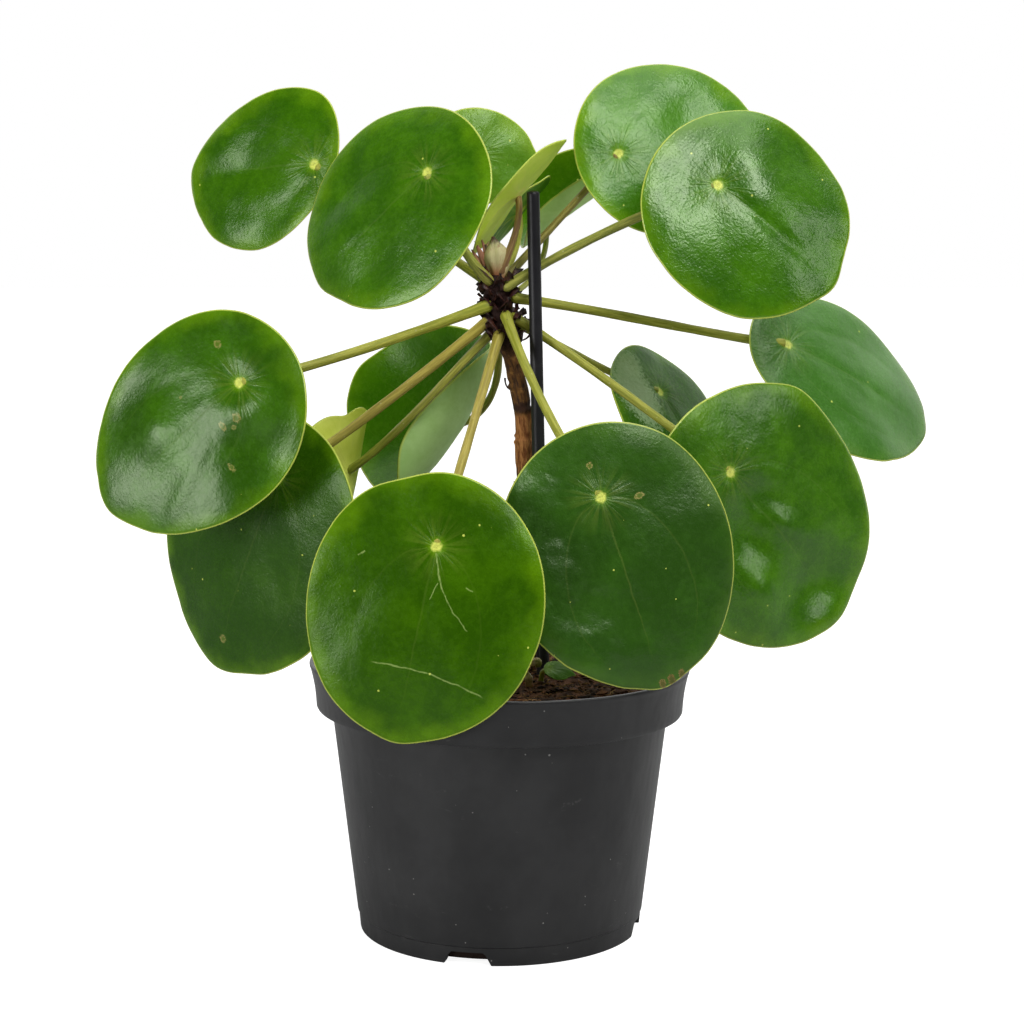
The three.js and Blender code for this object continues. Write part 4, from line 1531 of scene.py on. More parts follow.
@dataclass
class Soil:
    """Peat that fills the pot, with crumbs and fibres on it."""

    pot: Pot
    edge_height: float = 80.6
    crown_height: float = 82.6
    gap: float = 0.3
    crumbs: int = 4200
    fibres: int = 520
    finish: EarthFinish = EarthFinish("peat")
    fibre_finish: EarthFinish = EarthFinish("peat_fibre", "3a2415", "a07a50")

    CRUMB_SEED, FIBRE_SEED = 11, 23
    CRUMB = (
        (0, 0, 1), (1, 0, 0.3), (0.3, 1, 0.2), (-0.8, 0.6, 0.3), (-0.8, -0.6, 0.2), (0.3, -1, 0.3),
        (0, 0, -1),
    )
    FIBRE_STEPS = 7

    def level(self, x: Array, y: Array) -> Array:
        """Height of the bare surface.

        Args:
            x: Places to the right of the axis.
            y: Places behind it.

        Returns:
            Height at each place, in mm.
        """
        share = np.hypot(x, y) / self.pot.collar_foot_radius
        crown = self.edge_height + (self.crown_height - self.edge_height) * (1 - share**2)
        lump = 0.9 * layered(x / 9, y / 9, 3.0, 3) + 0.35 * layered(x / 1.6, y / 1.6, 8.0, 2)
        slope = self.pot.lean_slope * x
        return crown + lump * smooth(share, 1.02, 0.9) - slope

    def bed(self) -> Shape:
        """Filled body of peat with an uneven top."""
        pot = self.pot
        wall = pot.wall + self.gap
        outer = pot.collar_foot_radius - wall + 1.0
        walls = [
            (0.0, wall), (pot.channel_inner - 1, wall), (pot.channel_inner, pot.channel_rise + wall),
            (pot.channel_outer, pot.channel_rise + wall), (pot.channel_outer + 1, wall),
            (pot.foot_radius - wall - 0.5, wall), (pot.foot_radius - wall + 0.4, 4.4),
            (pot.body_top_radius - wall, pot.collar_foot - 3),
            (pot.body_top_radius - wall, pot.collar_foot + wall - 0.6),
            (pot.collar_foot_radius - wall, pot.collar_foot + wall),
        ]
        rings = [(outer * share, self.edge_height) for share in np.linspace(1, 0.006, 70)]
        body = turned(walls + rings + [(0.0, self.edge_height)], 168)
        top = body.points[:, 2] >= self.edge_height
        points = pot.lean(body.points)
        points[top, 2] = self.level(body.points[top, 0], body.points[top, 1])
        tone = np.where(top, 0.35 + 0.35 * layered(points[:, 0] / 3, points[:, 1] / 3, 5.0, 3), -0.7)
        return Shape(points, body.faces, None, {"tone": tone})

    def scattered(self, count: int, draw: np.random.Generator) -> Array:
        """Random places on the surface, clear of the wall.

        Args:
            count: How many.
            draw: Where the random numbers come from.

        Returns:
            A row for each place.
        """
        radius = (self.pot.collar_foot_radius - 3.0) * np.sqrt(draw.random(count))
        angle = draw.random(count) * 2 * math.pi
        x, y = radius * np.cos(angle), radius * np.sin(angle)
        return np.column_stack([x, y, self.level(x, y)])

    def crumb_shape(self) -> Shape:
        """Loose crumbs and chips of bark and peat."""
        draw = np.random.default_rng(self.CRUMB_SEED)
        sides = [(0, k, k % 5 + 1) for k in range(1, 6)] + [(6, k % 5 + 1, k) for k in range(1, 6)]
        ball = np.array(self.CRUMB, float)
        crumbs = []
        for place in self.scattered(self.crumbs, draw):
            size = 0.3 + 1.2 * draw.random() ** 3.5
            stretch = np.array([1 + draw.random(), 0.6 + 0.5 * draw.random(), 0.4 + 0.4 * draw.random()])
            turn = Matrix.Rotation(draw.random() * 6.3, 3, "Z") @ Matrix.Rotation(draw.random() - 0.5, 3, "X")
            lumps = ball * (0.75 + 0.5 * draw.random((len(ball), 1))) * stretch * size
            points = lumps @ np.array(turn).T + place + np.array([0, 0, 0.15 * size])
            tone = np.full(len(ball), draw.random() ** 1.7)
            crumbs.append(Shape(points, sides, None, {"tone": tone}))
        return joined(crumbs)

    def fibre_shape(self) -> Shape:
        """Fine peat fibres and rootlets that lie on the crumbs."""
        draw = np.random.default_rng(self.FIBRE_SEED)
        count = self.FIBRE_STEPS
        rods = []
        for place in self.scattered(self.fibres, draw):
            heading = draw.random() * 2 * math.pi
            length = 2.0 + 6.0 * draw.random() ** 2
            curl = (draw.random() - 0.5) * 2.4
            steps = np.linspace(0, 1, count)
            angles = heading + curl * steps
            x = place[0] + np.cumsum(np.cos(angles)) * length / count
            y = place[1] + np.cumsum(np.sin(angles)) * length / count
            z = self.level(x, y) + 0.35 + 0.5 * np.sin(steps * math.pi) * draw.random()
            rod = sweep(np.column_stack([x, y, z]), np.full(count, 0.07 + 0.1 * draw.random()), 4)
            rod.values = {"tone": np.full(len(rod.points), 0.4 + 0.6 * draw.random())}
            rods.append(rod)
        return joined(rods)

    def build(self) -> None:
        """Build and dress the bed, its crumbs and its fibres."""
        peat = self.finish.build()
        settle(self.bed().to_object("peat_bed", [peat]), "potting_soil", "soil")
        settle(self.crumb_shape().to_object("peat_crumbs", [peat], True), "potting_soil")
        settle(self.fibre_shape().to_object("peat_fibres", [self.fibre_finish.build()]), "potting_soil")


@dataclass
class Stake:
    """Straight thin support rod beside the trunk."""

    radius: float = 2.0
    top: Triple = (10.3, -7.0, 232.0)
    bottom: Triple = (15.2, -7.0, 14.0)
    finish: PlasticFinish = PlasticFinish("stake_plastic", "151418", 0.42, 0.15, 0.28)

    def build(self) -> None:
        """Build and dress the rod, with a small bevel at its cut top."""
        share = np.array([0.0, 0.004, *np.linspace(0.02, 0.985, 40), 0.996, 0.999, 1.0])[:, None]
        line = np.array(self.bottom) * (1 - share) + np.array(self.top) * share
        radii = np.full(len(line), self.radius)
        radii[0], radii[-2], radii[-1] = 0.8, self.radius * 0.97, self.radius * 0.88
        rod = sweep(line, radii, 40)
        settle(rod.to_object("stake_rod", [self.finish.build()]), "stake", "support_stake")


# --- Trunk, crown and bud ---


@dataclass
class Trunk:
    """Short woody trunk that ends in the knobbly crown."""

    radius: float = 2.75
    line: tuple[Triple, ...] = (
        (9.5, 0, 58), (9, 0, 84), (8.6, 0, 120), (8, 0, 150), (7.1, 0, 165),
        (4.7, 0, 178), (2.4, 0, 186), (0.3, 0, 193), (-0.5, 0, 200), (-0.6, 0, 206.5),
    )
    crown_foot: float = 184.0
    crown_top: float = 207.0
    crown_swell: float = 1.35
    scars: tuple[Pair, ...] = (
        (179, -80), (172, 70), (164, -120), (156.5, 20), (154.5, 160), (139, -50), (127, 100), (112, -100),
    )
    scale_count: int = 54
    scale_foot: float = 185.5
    scale_rise: float = 20.0
    barbs: tuple[tuple[float, float, float, float], ...] = (
        (171, -95, 4.0, 1.4), (141, -60, 2.2, 0.8), (118, -110, 2.0, -0.5), (162, 75, 2.4, 0.9),
    )
    bark: BarkFinish = BarkFinish("trunk_bark")
    scale: SheathFinish = SheathFinish("crown_scales", "1a0c09", "45211a", "24110d", 0.42)

    GOLDEN_ANGLE = 137.5
    SCALE_SEED = 5

    def rod(self) -> Shape:
        """Trunk and crown in one, ridged, ringed at each scar and fissured."""
        steps, sides = 300, 56
        line = resampled(self.line, steps)
        height = line[:, 2]
        swell = smooth(height, self.crown_foot - 3, self.crown_foot + 6)
        swell = swell * smooth(height, self.crown_top + 0.5, self.crown_top - 5)
        closing = smooth(height, self.crown_top - 4, self.crown_top)
        radii = self.radius + self.crown_swell * swell - 0.9 * closing
        grid_height, grid_angle = np.meshgrid(height, turn_angles(sides), indexing="ij")
        x, y = np.cos(grid_angle), np.sin(grid_angle)
        ridges = layered(x * 2.4 + 5 + 0.02 * grid_height, y * 2.4 + grid_height * 0.05, 2.0, 3)
        lumps = layered(x * 1.1 + 9, y * 1.1 + grid_height / 7, 6.0, 3)
        knobs = layered(x * 1.6 + 3, y * 1.6 + grid_height / 2.4, 4.0, 2)
        bumps = 0.16 * ridges + 0.22 * lumps + 0.55 * knobs * swell[:, None]
        for scar_height, azimuth in self.scars:
            heading = math.radians(azimuth)
            facing = np.cos(grid_angle - heading)
            band = grid_height - scar_height - 0.8 * facing
            bumps += 0.5 * np.exp(-((band / 0.55) ** 2)) * smooth(facing, -0.5, 0.7)
            bumps -= 0.3 * np.exp(-(((band - 1.3) / 0.8) ** 2)) * smooth(facing, -0.3, 0.8)
        return sweep(line, radii, sides, bumps)

    def flake(self, place: Array, outward: Array, size: Pair, curl: float, seed: float) -> Shape:
        """Thin dry scale, ragged at its tip and curled.

        Args:
            place: Where its foot sits.
            outward: Unit direction that it leaves along.
            size: Its length and width in mm.
            curl: How far it bends back, in radians.
            seed: Picks its ragged outline.

        Returns:
            The scale, with "run" kept from its foot (0) to its tip (1).
        """
        length, width = size
        up = np.array([0.0, 0.0, 1.0])
        side = np.cross(outward, up)
        side /= np.linalg.norm(side)
        lift = np.cross(side, outward)
        rows, columns = 12, 7
        points, run = [], []
        for layer in (0.09, -0.09):
            for i in range(rows):
                share = i / (rows - 1)
                bend = curl * share
                step = length * share
                half = bend * 0.5
                middle = place + outward * (step * math.cos(half)) + lift * (step * math.sin(half))
                normal = lift * math.cos(bend) - outward * math.sin(bend)
                wide = width * (1 - share**1.6) + 0.12
                for k in range(columns):
                    off = 2 * k / (columns - 1) - 1
                    ragged = float(relief(np.array(off * 2.5 + seed), np.array(share * 3.0), seed))
                    jag = 0.3 * width * ragged * share
                    point = middle + side * (off * wide / 2 + jag * 0.5) + outward * jag * abs(off)
                    points.append(point + normal * (layer - 0.35 * width * off * off * (0.5 + share)))
                    run.append(share)
        count = rows * columns
        faces = []
        for i in range(rows - 1):
            for k in range(columns - 1):
                a, d = i * columns + k, (i + 1) * columns + k
                b, c = a + 1, d + 1
                faces += [(a, b, c, d), (count + d, count + c, count + b, count + a)]
        border = list(range(columns)) + [columns - 1 + columns * i for i in range(1, rows)]
        border += [count - 1 - k for k in range(1, columns)] + [columns * i for i in range(rows - 2, 0, -1)]
        for first, second in zip(border, border[1:] + border[:1]):
            faces.append((second, first, count + first, count + second))
        return Shape(np.array(points), faces, None, {"run": np.array(run)})

    def scales(self) -> Shape:
        """Folded dry scales and ragged hooks all over the crown, and a few barbs down the trunk."""
        draw = np.random.default_rng(self.SCALE_SEED)
        line = resampled(self.line, 120)
        flakes = []
        for i in range(self.scale_count):
            high = self.scale_foot + self.scale_rise * (i + draw.random() * 0.8) / self.scale_count
            azimuth = i * self.GOLDEN_ANGLE + 30 * draw.random()
            hook = i % 3 == 0
            centre = np.array([np.interp(high, line[:, 2], line[:, 0]), 0.0, high])
            outward = direction(azimuth, -20 + 70 * draw.random() if hook else 50 + 25 * draw.random())
            foot = centre + direction(azimuth, 0) * (3.2 + 0.6 * draw.random())
            low, room = ((3.0, 0.9, -0.4), (2.6, 1.0, 2.6)) if hook else ((3.8, 3.4, -0.5), (1.8, 1.8, 0.8))
            length, width, curl = (least + more * draw.random() for least, more in zip(low, room))
            flakes.append(self.flake(foot, outward, (length, width), curl, i * 1.7))
        for high, azimuth, length, curl in self.barbs:
            centre = np.array([np.interp(high, line[:, 2], line[:, 0]), 0.0, float(high)])
            foot = centre + direction(azimuth, 0) * 2.5
            flakes.append(self.flake(foot, direction(azimuth, 25), (length, 0.9), curl, high))
        return joined(flakes)

    def build(self) -> None:
        """Build and dress the trunk and its scales."""
        settle(self.rod().to_object("woody_trunk", [self.bark.build()]), "bark", "trunk")
        settle(self.scales().to_object("crown_scales", [self.scale.build()]), "bark")


@dataclass
class Bud:
    """Pointed growing tip in its sheaths; each is a foot, a tip, a radius in mm and the turn of its fold."""

    sheaths: tuple[tuple[Triple, Triple, float, float], ...] = (
        ((-0.7, -0.6, 204.8), (-2.0, -0.9, 218.4), 3.3, 1.0),
        ((-1.6, 0.3, 204.6), (-4.4, -0.6, 216.0), 1.7, 3.4),
        ((0.4, -0.9, 204.4), (1.1, -0.9, 213.6), 1.5, 5.2),
    )
    stipules: tuple[tuple[Triple, Triple, float, float], ...] = (
        ((-3.0, 0.5, 205.0), (-7.6, -0.8, 217.0), 0.9, 0.0),
        ((-2.4, 0.2, 206.0), (-5.6, -0.6, 217.8), 0.6, 1.5),
        ((-3.4, 0.9, 204.0), (-8.6, 0.0, 214.4), 0.7, 1.5),
    )
    finish: SheathFinish = SheathFinish("bud_sheath", "b4603c", "dcd29a", "3a2418")
    dry: SheathFinish = SheathFinish("stipules", "a8503c", "b88064", "6e4a30")

    STEPS, SIDES = 44, 36
    SHEATH_FLATNESS, STIPULE_FLATNESS = 0.7, 0.5

    def sheath(self, start: Triple, end: Triple, radius: float, turn: float, flatness: float) -> Shape:
        """One pointed sheath, folded over itself, widest past its middle.

        Args:
            start: Its foot.
            end: Its needle tip.
            radius: Its widest radius.
            turn: Where its fold lies, in radians.
            flatness: Its depth as a share of its width.

        Returns:
            The sheath, with "run" kept from its foot (0) to its tip (1).
        """
        share = np.linspace(0, 1, self.STEPS)
        low, high = np.array(start), np.array(end)
        bow = np.outer(np.sin(share * math.pi), np.array([0.4, 0.0, 0.0]))
        line = low + np.outer(share, high - low) + bow
        radii = radius * (0.3 + 0.7 * smooth(share, 0.0, 0.6)) * smooth(share, 1.12, 0.58) ** 1.25 + 0.12
        bumps = np.zeros((self.STEPS, self.SIDES))
        for fold_turn, rise in ((turn, 0.32), (turn + 2.0, -0.22), (turn + 3.6, 0.25)):
            away = angle_off(turn_angles(self.SIDES), fold_turn)
            ridge = np.exp(-((away / 0.3) ** 2))[None, :]
            bumps += rise * radii[:, None] * ridge * smooth(share, 0.05, 0.4)[:, None]
        made = sweep(line, radii, self.SIDES, bumps)
        made.points[:, 1] = low[1] + (made.points[:, 1] - low[1]) * flatness
        made.values = {"run": made.values["run"] / made.values["run"].max()}
        return made

    def build(self) -> None:
        """Build and dress the sheaths and the dry stipules beside them."""
        sheaths = joined([self.sheath(*row, self.SHEATH_FLATNESS) for row in self.sheaths])
        settle(sheaths.to_object("bud_sheaths", [self.finish.build()]), "bud", "terminal_bud")
        stipules = joined([self.sheath(*row, self.STIPULE_FLATNESS) for row in self.stipules])
        settle(stipules.to_object("dry_stipules", [self.dry.build()]), "bud")


# --- Seedling ---


@dataclass
class Seedling:
    """Small plantlet at the foot of the trunk, beside a withered stub."""

    stem: tuple[Triple, ...] = ((12.5, -19, 74), (13.0, -20, 84.5), (14.6, -22, 86.6))
    blade: BladeForm = BladeForm(
        (14.8, -22, 87.2), (8, 46), 78, (8.6, 6.6), 0.12, (-20, -20), 0.0,
        quilt=0.05, quilt_size=2.0, crease=0.12, dimple=0.2, half_thickness=0.3, spokes=64, rings=12,
    )
    skin: BladeFinish = BladeFinish(
        "3a6814", "5a8a24", border="6c9438", pale="86a84c", veining=0.1, gloss=0.36
    )
    stub: tuple[Triple, ...] = (
        (9.6, -24, 80), (9.0, -24.5, 84), (8.2, -25, 87.4), (9.4, -25.5, 89.6), (11.6, -25, 90.0),
        (11.8, -24.6, 88.2),
    )
    stub_finish: SheathFinish = SheathFinish("withered_stub", "94583e", "e8c4ac", "a0a04a", 0.6)

    STEPS, SIDES = 30, 14
    STEM_LENGTH = 14.0
    SEED = 21.0
    VEIN_REACH = (6.0, 2.4)

    def build(self) -> None:
        """Build and dress the stem, the blade and the stub."""
        steps, around = self.STEPS, self.SIDES
        rod = sweep(resampled(self.stem, steps), np.linspace(1.0, 0.75, steps), around)
        petiole = "seedling_petiole"
        stem = rod.to_object(petiole, [StalkFinish().build(petiole, self.STEM_LENGTH, 2.0)])
        settle(stem, "stalk", "seedling_stem")
        sides = [make("seedling", self.SEED, *self.VEIN_REACH) for make in (self.skin.upper, self.skin.under)]
        settle(self.blade.shape().to_object("seedling_lamina", sides), "leaf", "seedling_blade")
        share = np.linspace(0, 1, steps)
        ridges = 0.25 * np.cos(3 * turn_angles(around))[None, :]
        bumps = 0.4 * layered(share * 6, share * 0, 3.0)[:, None] + ridges
        stub = sweep(resampled(self.stub, steps), 1.6 - 0.9 * share, around, bumps)
        stub.values = {"run": stub.values["run"] / stub.values["run"].max()}
        settle(stub.to_object("withered_stub", [self.stub_finish.build()]), "bark")


# --- Studio ---


@dataclass
class Softbox:
    """Soft light: its place and aim in mm, its width and height in metres and its power in watts."""

    name: str
    place: Triple
    size: Pair
    power: float
    aim: Triple = (0, 0, 190)

    def build(self) -> None:
        """Hang the light."""
        lamp = bpy.data.lights.new(self.name, "AREA")
        lamp.shape, lamp.energy = "RECTANGLE", self.power
        lamp.size, lamp.size_y = self.size
        made = bpy.data.objects.new(self.name, lamp)
        made.location = Vector(self.place) * MM
        made.rotation_euler = (Vector(self.aim) - Vector(self.place)).to_track_quat("-Z", "Y").to_euler()
        bpy.context.scene.collection.objects.link(made)


@dataclass
class Studio:
    """White floor, white surroundings, soft lights and the camera."""

    camera_place: Triple = (3.9, -700.0, 226.0)
    camera_pitch: float = 7.6
    lens: float = 79.1
    lights: tuple[Softbox, ...] = (
        Softbox("key_softbox", (438, -813, 973), (0.5, 0.45), 7.5),
        Softbox("left_softbox", (-766, -642, 225), (0.42, 0.4), 4.5),
        Softbox("top_softbox", (330, -230, 1500), (1.1, 1.1), 9.0),
        Softbox("side_softbox", (782, -452, 484), (0.24, 0.26), 0.85),
    )

    FLOOR_TONE, FLOOR_GLOW = 0.45, 0.9
    FLOOR_FRONT, FLOOR_BACK, FLOOR_HALF_WIDTH = -520.0, 6000.0, 3000.0
    SENSOR_WIDTH = 36.0

    def build(self) -> None:
        """Make the floor, the surroundings, the lights and the camera."""
        scene = bpy.context.scene
        material, graph, shader = new_material("studio_floor")
        seen = graph.add("ShaderNodeLightPath").outputs["Is Camera Ray"]
        look = {
            "Base Color": (self.FLOOR_TONE,) * 3, "Roughness": 0.9, "Emission Color": WHITE,
            "Emission Strength": graph.times(seen, self.FLOOR_GLOW),
        }
        for name, value in look.items():
            graph.feed(shader.inputs[name], value)
        wide, front, back = self.FLOOR_HALF_WIDTH, self.FLOOR_FRONT, self.FLOOR_BACK
        corners = np.array([(-wide, front, 0), (wide, front, 0), (wide, back, 0), (-wide, back, 0)])
        floor = Shape(corners, [(0, 1, 2, 3)]).to_object("studio_floor", [material])
        world = bpy.data.worlds.new("studio")
        world.use_nodes = True
        sky = Graph(world.node_tree)
        sheet = world.node_tree.nodes["Background"]
        depth, up = sky.parts(sky.add("ShaderNodeTexCoord").outputs["Generated"])[1:]
        shade = sky.plus(sky.ease(depth, -0.1, 0.5, 0.04, 1.0), sky.ease(up, 0.6, 1.0, 0.0, 0.2))
        seen = sky.add("ShaderNodeLightPath").outputs["Is Camera Ray"]
        sky.feed(sheet.inputs["Color"], WHITE)
        sky.feed(sheet.inputs["Strength"], sky.math("MAXIMUM", seen, shade))
        scene.world = world
        scene.view_settings.view_transform = "Standard"
        for light in self.lights:
            light.build()
        lens = bpy.data.cameras.new("camera")
        lens.lens, lens.sensor_width = self.lens, self.SENSOR_WIDTH
        camera = bpy.data.objects.new("camera", lens)
        camera.location = Vector(self.camera_place) * MM
        camera.rotation_euler = (math.radians(90 - self.camera_pitch), 0.0, 0.0)
        scene.collection.objects.link(camera)
        scene.camera = camera


# --- The plant ---

BLADE_PHASE = 2.1


def leaf(
    number: int, hub: Triple, facing: Pair, tip_turn: float, size: Pair, hub_share: float, bend: Pair,
    stalk: StalkForm, skin: BladeFinish, stalk_skin: StalkFinish, **traits: object,
) -> Leaf:
    """One numbered leaf.

    Args:
        number: Its number, which sets how its margin waves.
        hub: Where its stalk meets the blade.
        facing: Azimuth and elevation of the blade's upper side.
        tip_turn: Swing of the blade's tip from straight downhill.
        size: Length and width of the blade laid flat.
        hub_share: The hub's place along that length.
        bend: Turn of the blade along and across; above 0 it cups upwards.
        stalk: Shape of its stalk.
        skin: Look of its blade.
        stalk_skin: Look of its stalk.
        **traits: Anything else that sets the blade's shape apart.

    Returns:
        The leaf.
    """
    blade = BladeForm(hub, facing, tip_turn, size, hub_share, bend, BLADE_PHASE * number, **traits)
    return Leaf(number, blade, stalk, skin, stalk_skin)


def leaves() -> list[Leaf]:
    """The seventeen leaves, from the top of the plant down."""
    bright = BladeFinish("2f5e00", "4f8600")
    young = BladeFinish("5a8a1c", "7fae3c", "9cc03c", under_deep="b4cc48", under_fresh="cbe06e", shine=0.3)
    strip = replace(young, under_deep="c8e83c", under_fresh="e0f660")
    pale_under = BladeFinish("3c7000", "588e04", under_deep="b0da80", under_fresh="caee9e", shine=0.25)
    # Paler copy of pale_under: painted light, making up for the shade that leaf 6's underside sits in.
    painted_light_under = replace(pale_under, under_deep="b8e480", under_fresh="d0f498")
    # Darker copy of pale_under, with less shine: painted shade on the underside of leaf 5, which lies half
    # hidden among the other leaves.
    painted_shade_under = replace(pale_under, under_deep="4c8420", under_fresh="6aa032", shine=0.12, gloss=0.1)
    brown = StalkFinish("8a6a4a", "94704e", "7c6a30")
    tan = StalkFinish("a8963c", "b09c48", "a8a03e")
    light = StalkFinish("979c2c", "9da034", "a0a63a")
    return [
        leaf(1, (-59, 24, 241), (-22, 10), -88, (54, 52), 0.14, (-15, -20),
            StalkForm(204.4, (0, 6, -1), 1.35, seat=(-3.4, 0.5)),
            BladeFinish("2f5e00", "4c8200", shine=0.38, yellowing=0.7), light,
            skew=0.25, folds=(Fold(2, -1.2, 5.0, 0.3),),
            tilts=(Tilt(28, -9, 8, 0.12, -0.2), Tilt(31, 14, 6, 0.12, 0.0), Tilt(16, 18, 8, -0.1, 0.1))),
        leaf(2, (-22, -5, 238), (-28, 22), -46, (69, 62), 0.28, (-25, -20),
            StalkForm(204, (-3, -4, -3), 1.35, seat=(-2.2, -3.0)),
            bright, StalkFinish("8c8a3c", "98a040", "8fa040"),
            tilts=(Tilt(35, 5, 12, 0.08, -0.2), Tilt(28, -22, 10, 0.0, -0.25))),
        leaf(3, (-8, 16, 244), (12, 8), 85, (34, 30), 0.42, (-20, -20),
            StalkForm(206, (-1, 12, -2), 0.9, seat=(-1.5, 1.5)), young, brown, crease=0.0),
        leaf(4, (5.6, 0, 231.5), (-107, 40), 0, (45, 25), 0.5, (-10, 30),
            StalkForm(206.5, (1, -1, -1), 1.0, seat=(0.2, -0.6)),
            strip, StalkFinish("9a6a50", "a4745c", "94683c"), ovate=0.1),
        leaf(5, (6, 28, 226), (-105, 40), 0, (30, 22), 0.5, (-10, 20),
            StalkForm(203, (1, 0, -1), 0.9, seat=(0.5, 2.6)), painted_shade_under, light),
        leaf(6, (15, 45, 221), (-62, 50), 150, (46, 46), 0.22, (10, 145),
            StalkForm(200, (3, 4, -6), 0.9, seat=(2.0, 2.6)), painted_light_under, light),
        leaf(7, (37, 8, 244), (8, 18), 100, (62, 56), 0.22, (-20, -20),
            StalkForm(205.5, (1, 4, 1), seat=(1.8, 0.6)),
            BladeFinish("39720a", "5a941a", yellowing=0.8), StalkFinish("8f8a4a", "84763a", "7a6a36"),
            tilts=(Tilt(32, 10, 12, 0.15, 0.06),)),
        leaf(8, (66, -15, 234), (8, 20), 50, (67, 64), 0.31, (-25, -25),
            StalkForm(202.3, (0, 4, 4), 1.35, seat=(0.9, -3.2), top_sink=1.25),
            BladeFinish("2e5e02", "4f8806", shine=0.6, gloss=0.25, wrinkle_depth=0.11),
            StalkFinish("8f9440", "7c8436", "74802f"), folds=(Fold(0, -0.5, 2.5, 0.1, 0.8),),
            tilts=(
                Tilt(-14, -16, 11, -0.07, -0.16), Tilt(-8, -8, 12, -0.13, -0.2),
                Tilt(14, 20, 18, -0.12, -0.24), Tilt(34, 3, 11, -0.04, -0.12, 0.22),
            )),
        leaf(9, (92, 20, 184), (30, 35), 62, (74, 56), 0.18, (-30, -20),
            StalkForm(199.8, (0, 3, 1), 1.45, seat=(3.4, -1.6)),
            BladeFinish("3a6e1a", "4f8530", shine=0.75, yellowing=0.2), light, crease=0.2),
        leaf(10, (-68, -12, 145), (-30, 5), -25, (88, 74), 0.22, (-25, -20),
            StalkForm(193.2, (0, 4, -2), 1.5, seat=(-2.6, -1.6)),
            BladeFinish("244a00", "386200", shine=0.25, marks=(Mark(59, 0, 1.2),)), tan,
            tilts=(Tilt(38, 16, 16, 0.14, 0.0),)),
        leaf(11, (70, -24, 148), (26, 5), 42, (86, 76), 0.27, (-15, -20),
            StalkForm(194.4, (0, 7, 2), 1.35, seat=(3.2, -2.0)), replace(bright, shine=0.6), light,
            crease=0.3, dents=(Dent(118, 2.0, 14), Dent(160, -1.6, 16)),
            tilts=(
                Tilt(20, 3.5, 5, 0.27, -0.2, 0.0, 2.4), Tilt(27, -13.5, 6.5, 0.3, -0.3, 0.0, 2.4),
                Tilt(55, -4, 11, 0.42, -0.08, 0.2),
            )),
        leaf(12, (-17, 39, 156), (-50, 28), -108, (80, 64), 0.47, (76, 60),
            StalkForm(191, (10, 8, -8), seat=(-1.5, 2.8)), pale_under, light, back_curl=3.0),
        leaf(13, (-48.5, 12, 144), (-115, 5), 15, (78, 50), 0.27, (-15, 120),
            StalkForm(189, (0, -6, -1), 1.25, seat=(-2.2, 2.0)),
            BladeFinish(under_deep="d0de4c", under_fresh="e6ee74", shine=0.3),
            StalkFinish("8f9038", "99993c", "8f9838"), dents=(Dent(160, -2.5, 9),)),
        leaf(14, (-18, -56, 130), (-5, 12), -12, (80, 70), 0.27, (-25, -20),
            StalkForm(189.5, (0, 2, 0), 1.4, seat=(0.4, -2.4)),
            BladeFinish(
                wrinkle_depth=0.07, shine=0.22,
                scratches=(
                    Scratch((37, -12), (40, 23), -1.9, 0.28), Scratch((1.5, 0.4), (12, 4.5), 0.2, 0.32),
                    Scratch((11, 4), (22, 14.5), 0.8, 0.24), Scratch((10, 3), (15.5, 1.6), 0.2, 0.2),
                    Scratch((7.4, -22), (5.8, -20), 0.1, 0.3), Scratch((9.6, 11), (10.2, 13.4), 0.1, 0.26),
                ),
            ),
            tan, dents=(Dent(-158, -2.4, 14),)),
        leaf(15, (30, -46, 143), (5, 12), 18, (80, 69), 0.27, (-25, -20),
            StalkForm(195.4, (-2, -4, -4), 1.4, seat=(1.6, -3.4), top_sink=1.25),
            BladeFinish(
                "234806", "37660f", border="5c8a1c", veining=0.04, mottling=0.4, yellowing=0.25,
                shine=0.5, gloss=0.33,
                marks=(
                    Mark(3, 11, 1.5, 1.7), Mark(-10, 0, 0.9), Mark(58.6, 0.5, 1.0, 0.7, "6a4c22", "8e7444"),
                    Mark(58.4, 3.4, 1.1, 0.6, "5e4420", "86683a"),
                    Mark(57.6, 6.8, 1.0, 0.7, "6a4c22", "8e7444"),
                ),
            ),
            light, crease=0.25,
            tilts=(
                Tilt(12, -23, 20, 0.15, -0.13, 0.3), Tilt(38, -15, 15, 0.26, -0.1, 0.3),
                Tilt(-12, -19, 10, 0.0, -0.07, 0.3), Tilt(-2, 18, 11, -0.16, 0.04),
            )),
        leaf(16, (-78, -25, 175), (-14, 14), -48, (76, 62), 0.25, (-25, -20),
            StalkForm(197.8, (0, 4, -2), 1.5, seat=(-2.2, -3.0)),
            BladeFinish(
                "295200", "437800", wrinkle_depth=0.06,
                marks=(
                    Mark(-2, -14, 1.3, 1.3), Mark(12, 7, 1.4, 1.6), Mark(7, 8, 1.3), Mark(18, 18, 1.3, 1.8),
                    Mark(17, -9, 0.5), Mark(9.5, 9.5, 0.7),
                ),
            ),
            light, folds=(Fold(20, 0.35, 3.0, 0.35, 1.0),),
            tilts=(
                Tilt(12, -22, 13, -0.1, 0.0), Tilt(3, 14, 14, -0.12, -0.28), Tilt(30, -14, 10, -0.05, 0.2),
                Tilt(36, -6, 10, -0.12, -0.1),
            )),
        leaf(17, (52, 30, 168), (52, 34), 5, (66, 54), 0.27, (-20, -20),
            StalkForm(192.5, (0, 3, 0), seat=(3.0, 1.6)),
            BladeFinish(
                "2f5e00", "4a8000", shine=0.15,
                # These two broad pale grey-green marks are painted sheen: gloss drawn into the base colour of
                # a blade of low shine.
                marks=(Mark(-2, -12, 8, 0.6, "bcd0a4", "94b07c"), Mark(-12, -8, 6, 1, "a8c08c", "8aa874")),
            ),
            light),
    ]


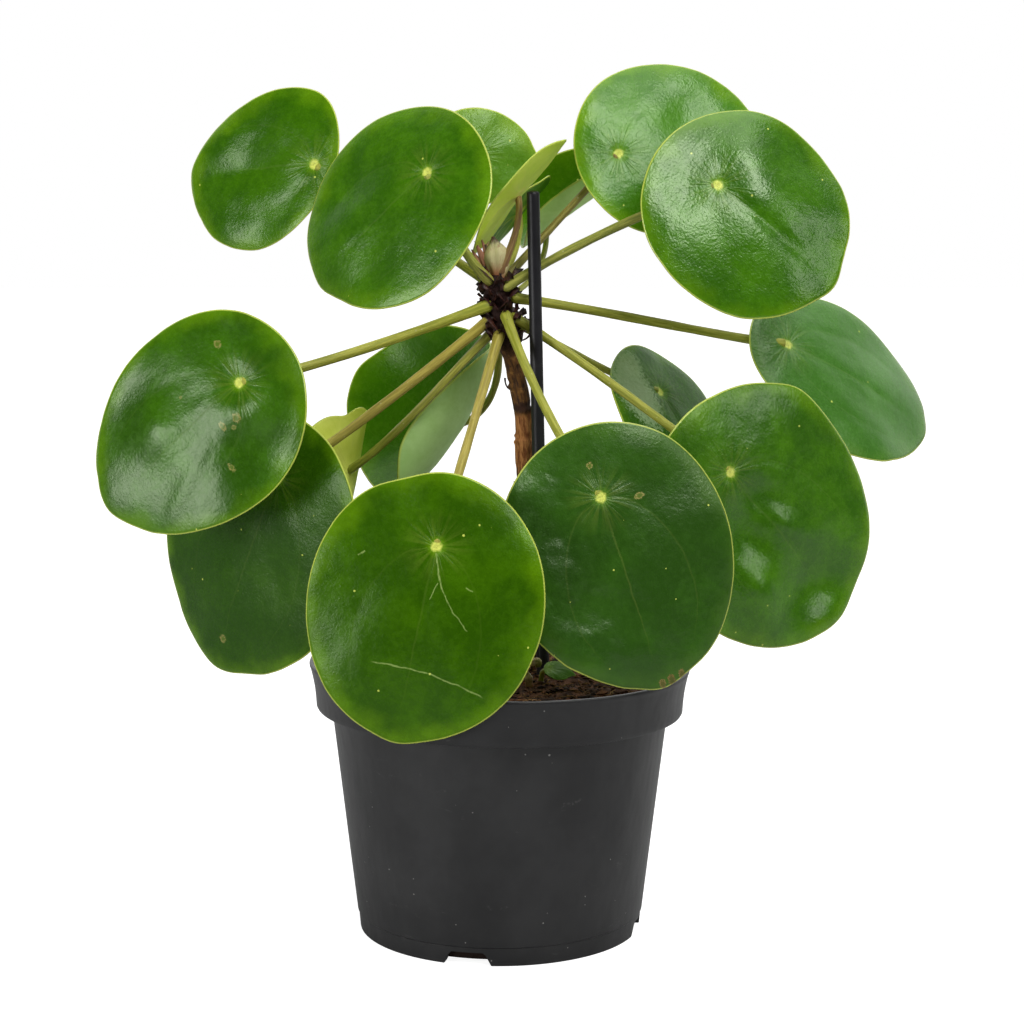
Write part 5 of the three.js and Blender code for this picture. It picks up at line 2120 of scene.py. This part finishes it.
def main() -> None:
    """Build every part of the plant, its pot and the studio."""
    logging.basicConfig(level=logging.INFO, format="%(name)s: %(message)s")
    pot = Pot()
    pot.build()
    Soil(pot).build()
    Stake().build()
    Trunk().build()
    Bud().build()
    Foliage(leaves()).build()
    Seedling().build()
    Studio().build()


if __name__ == "__main__":
    main()
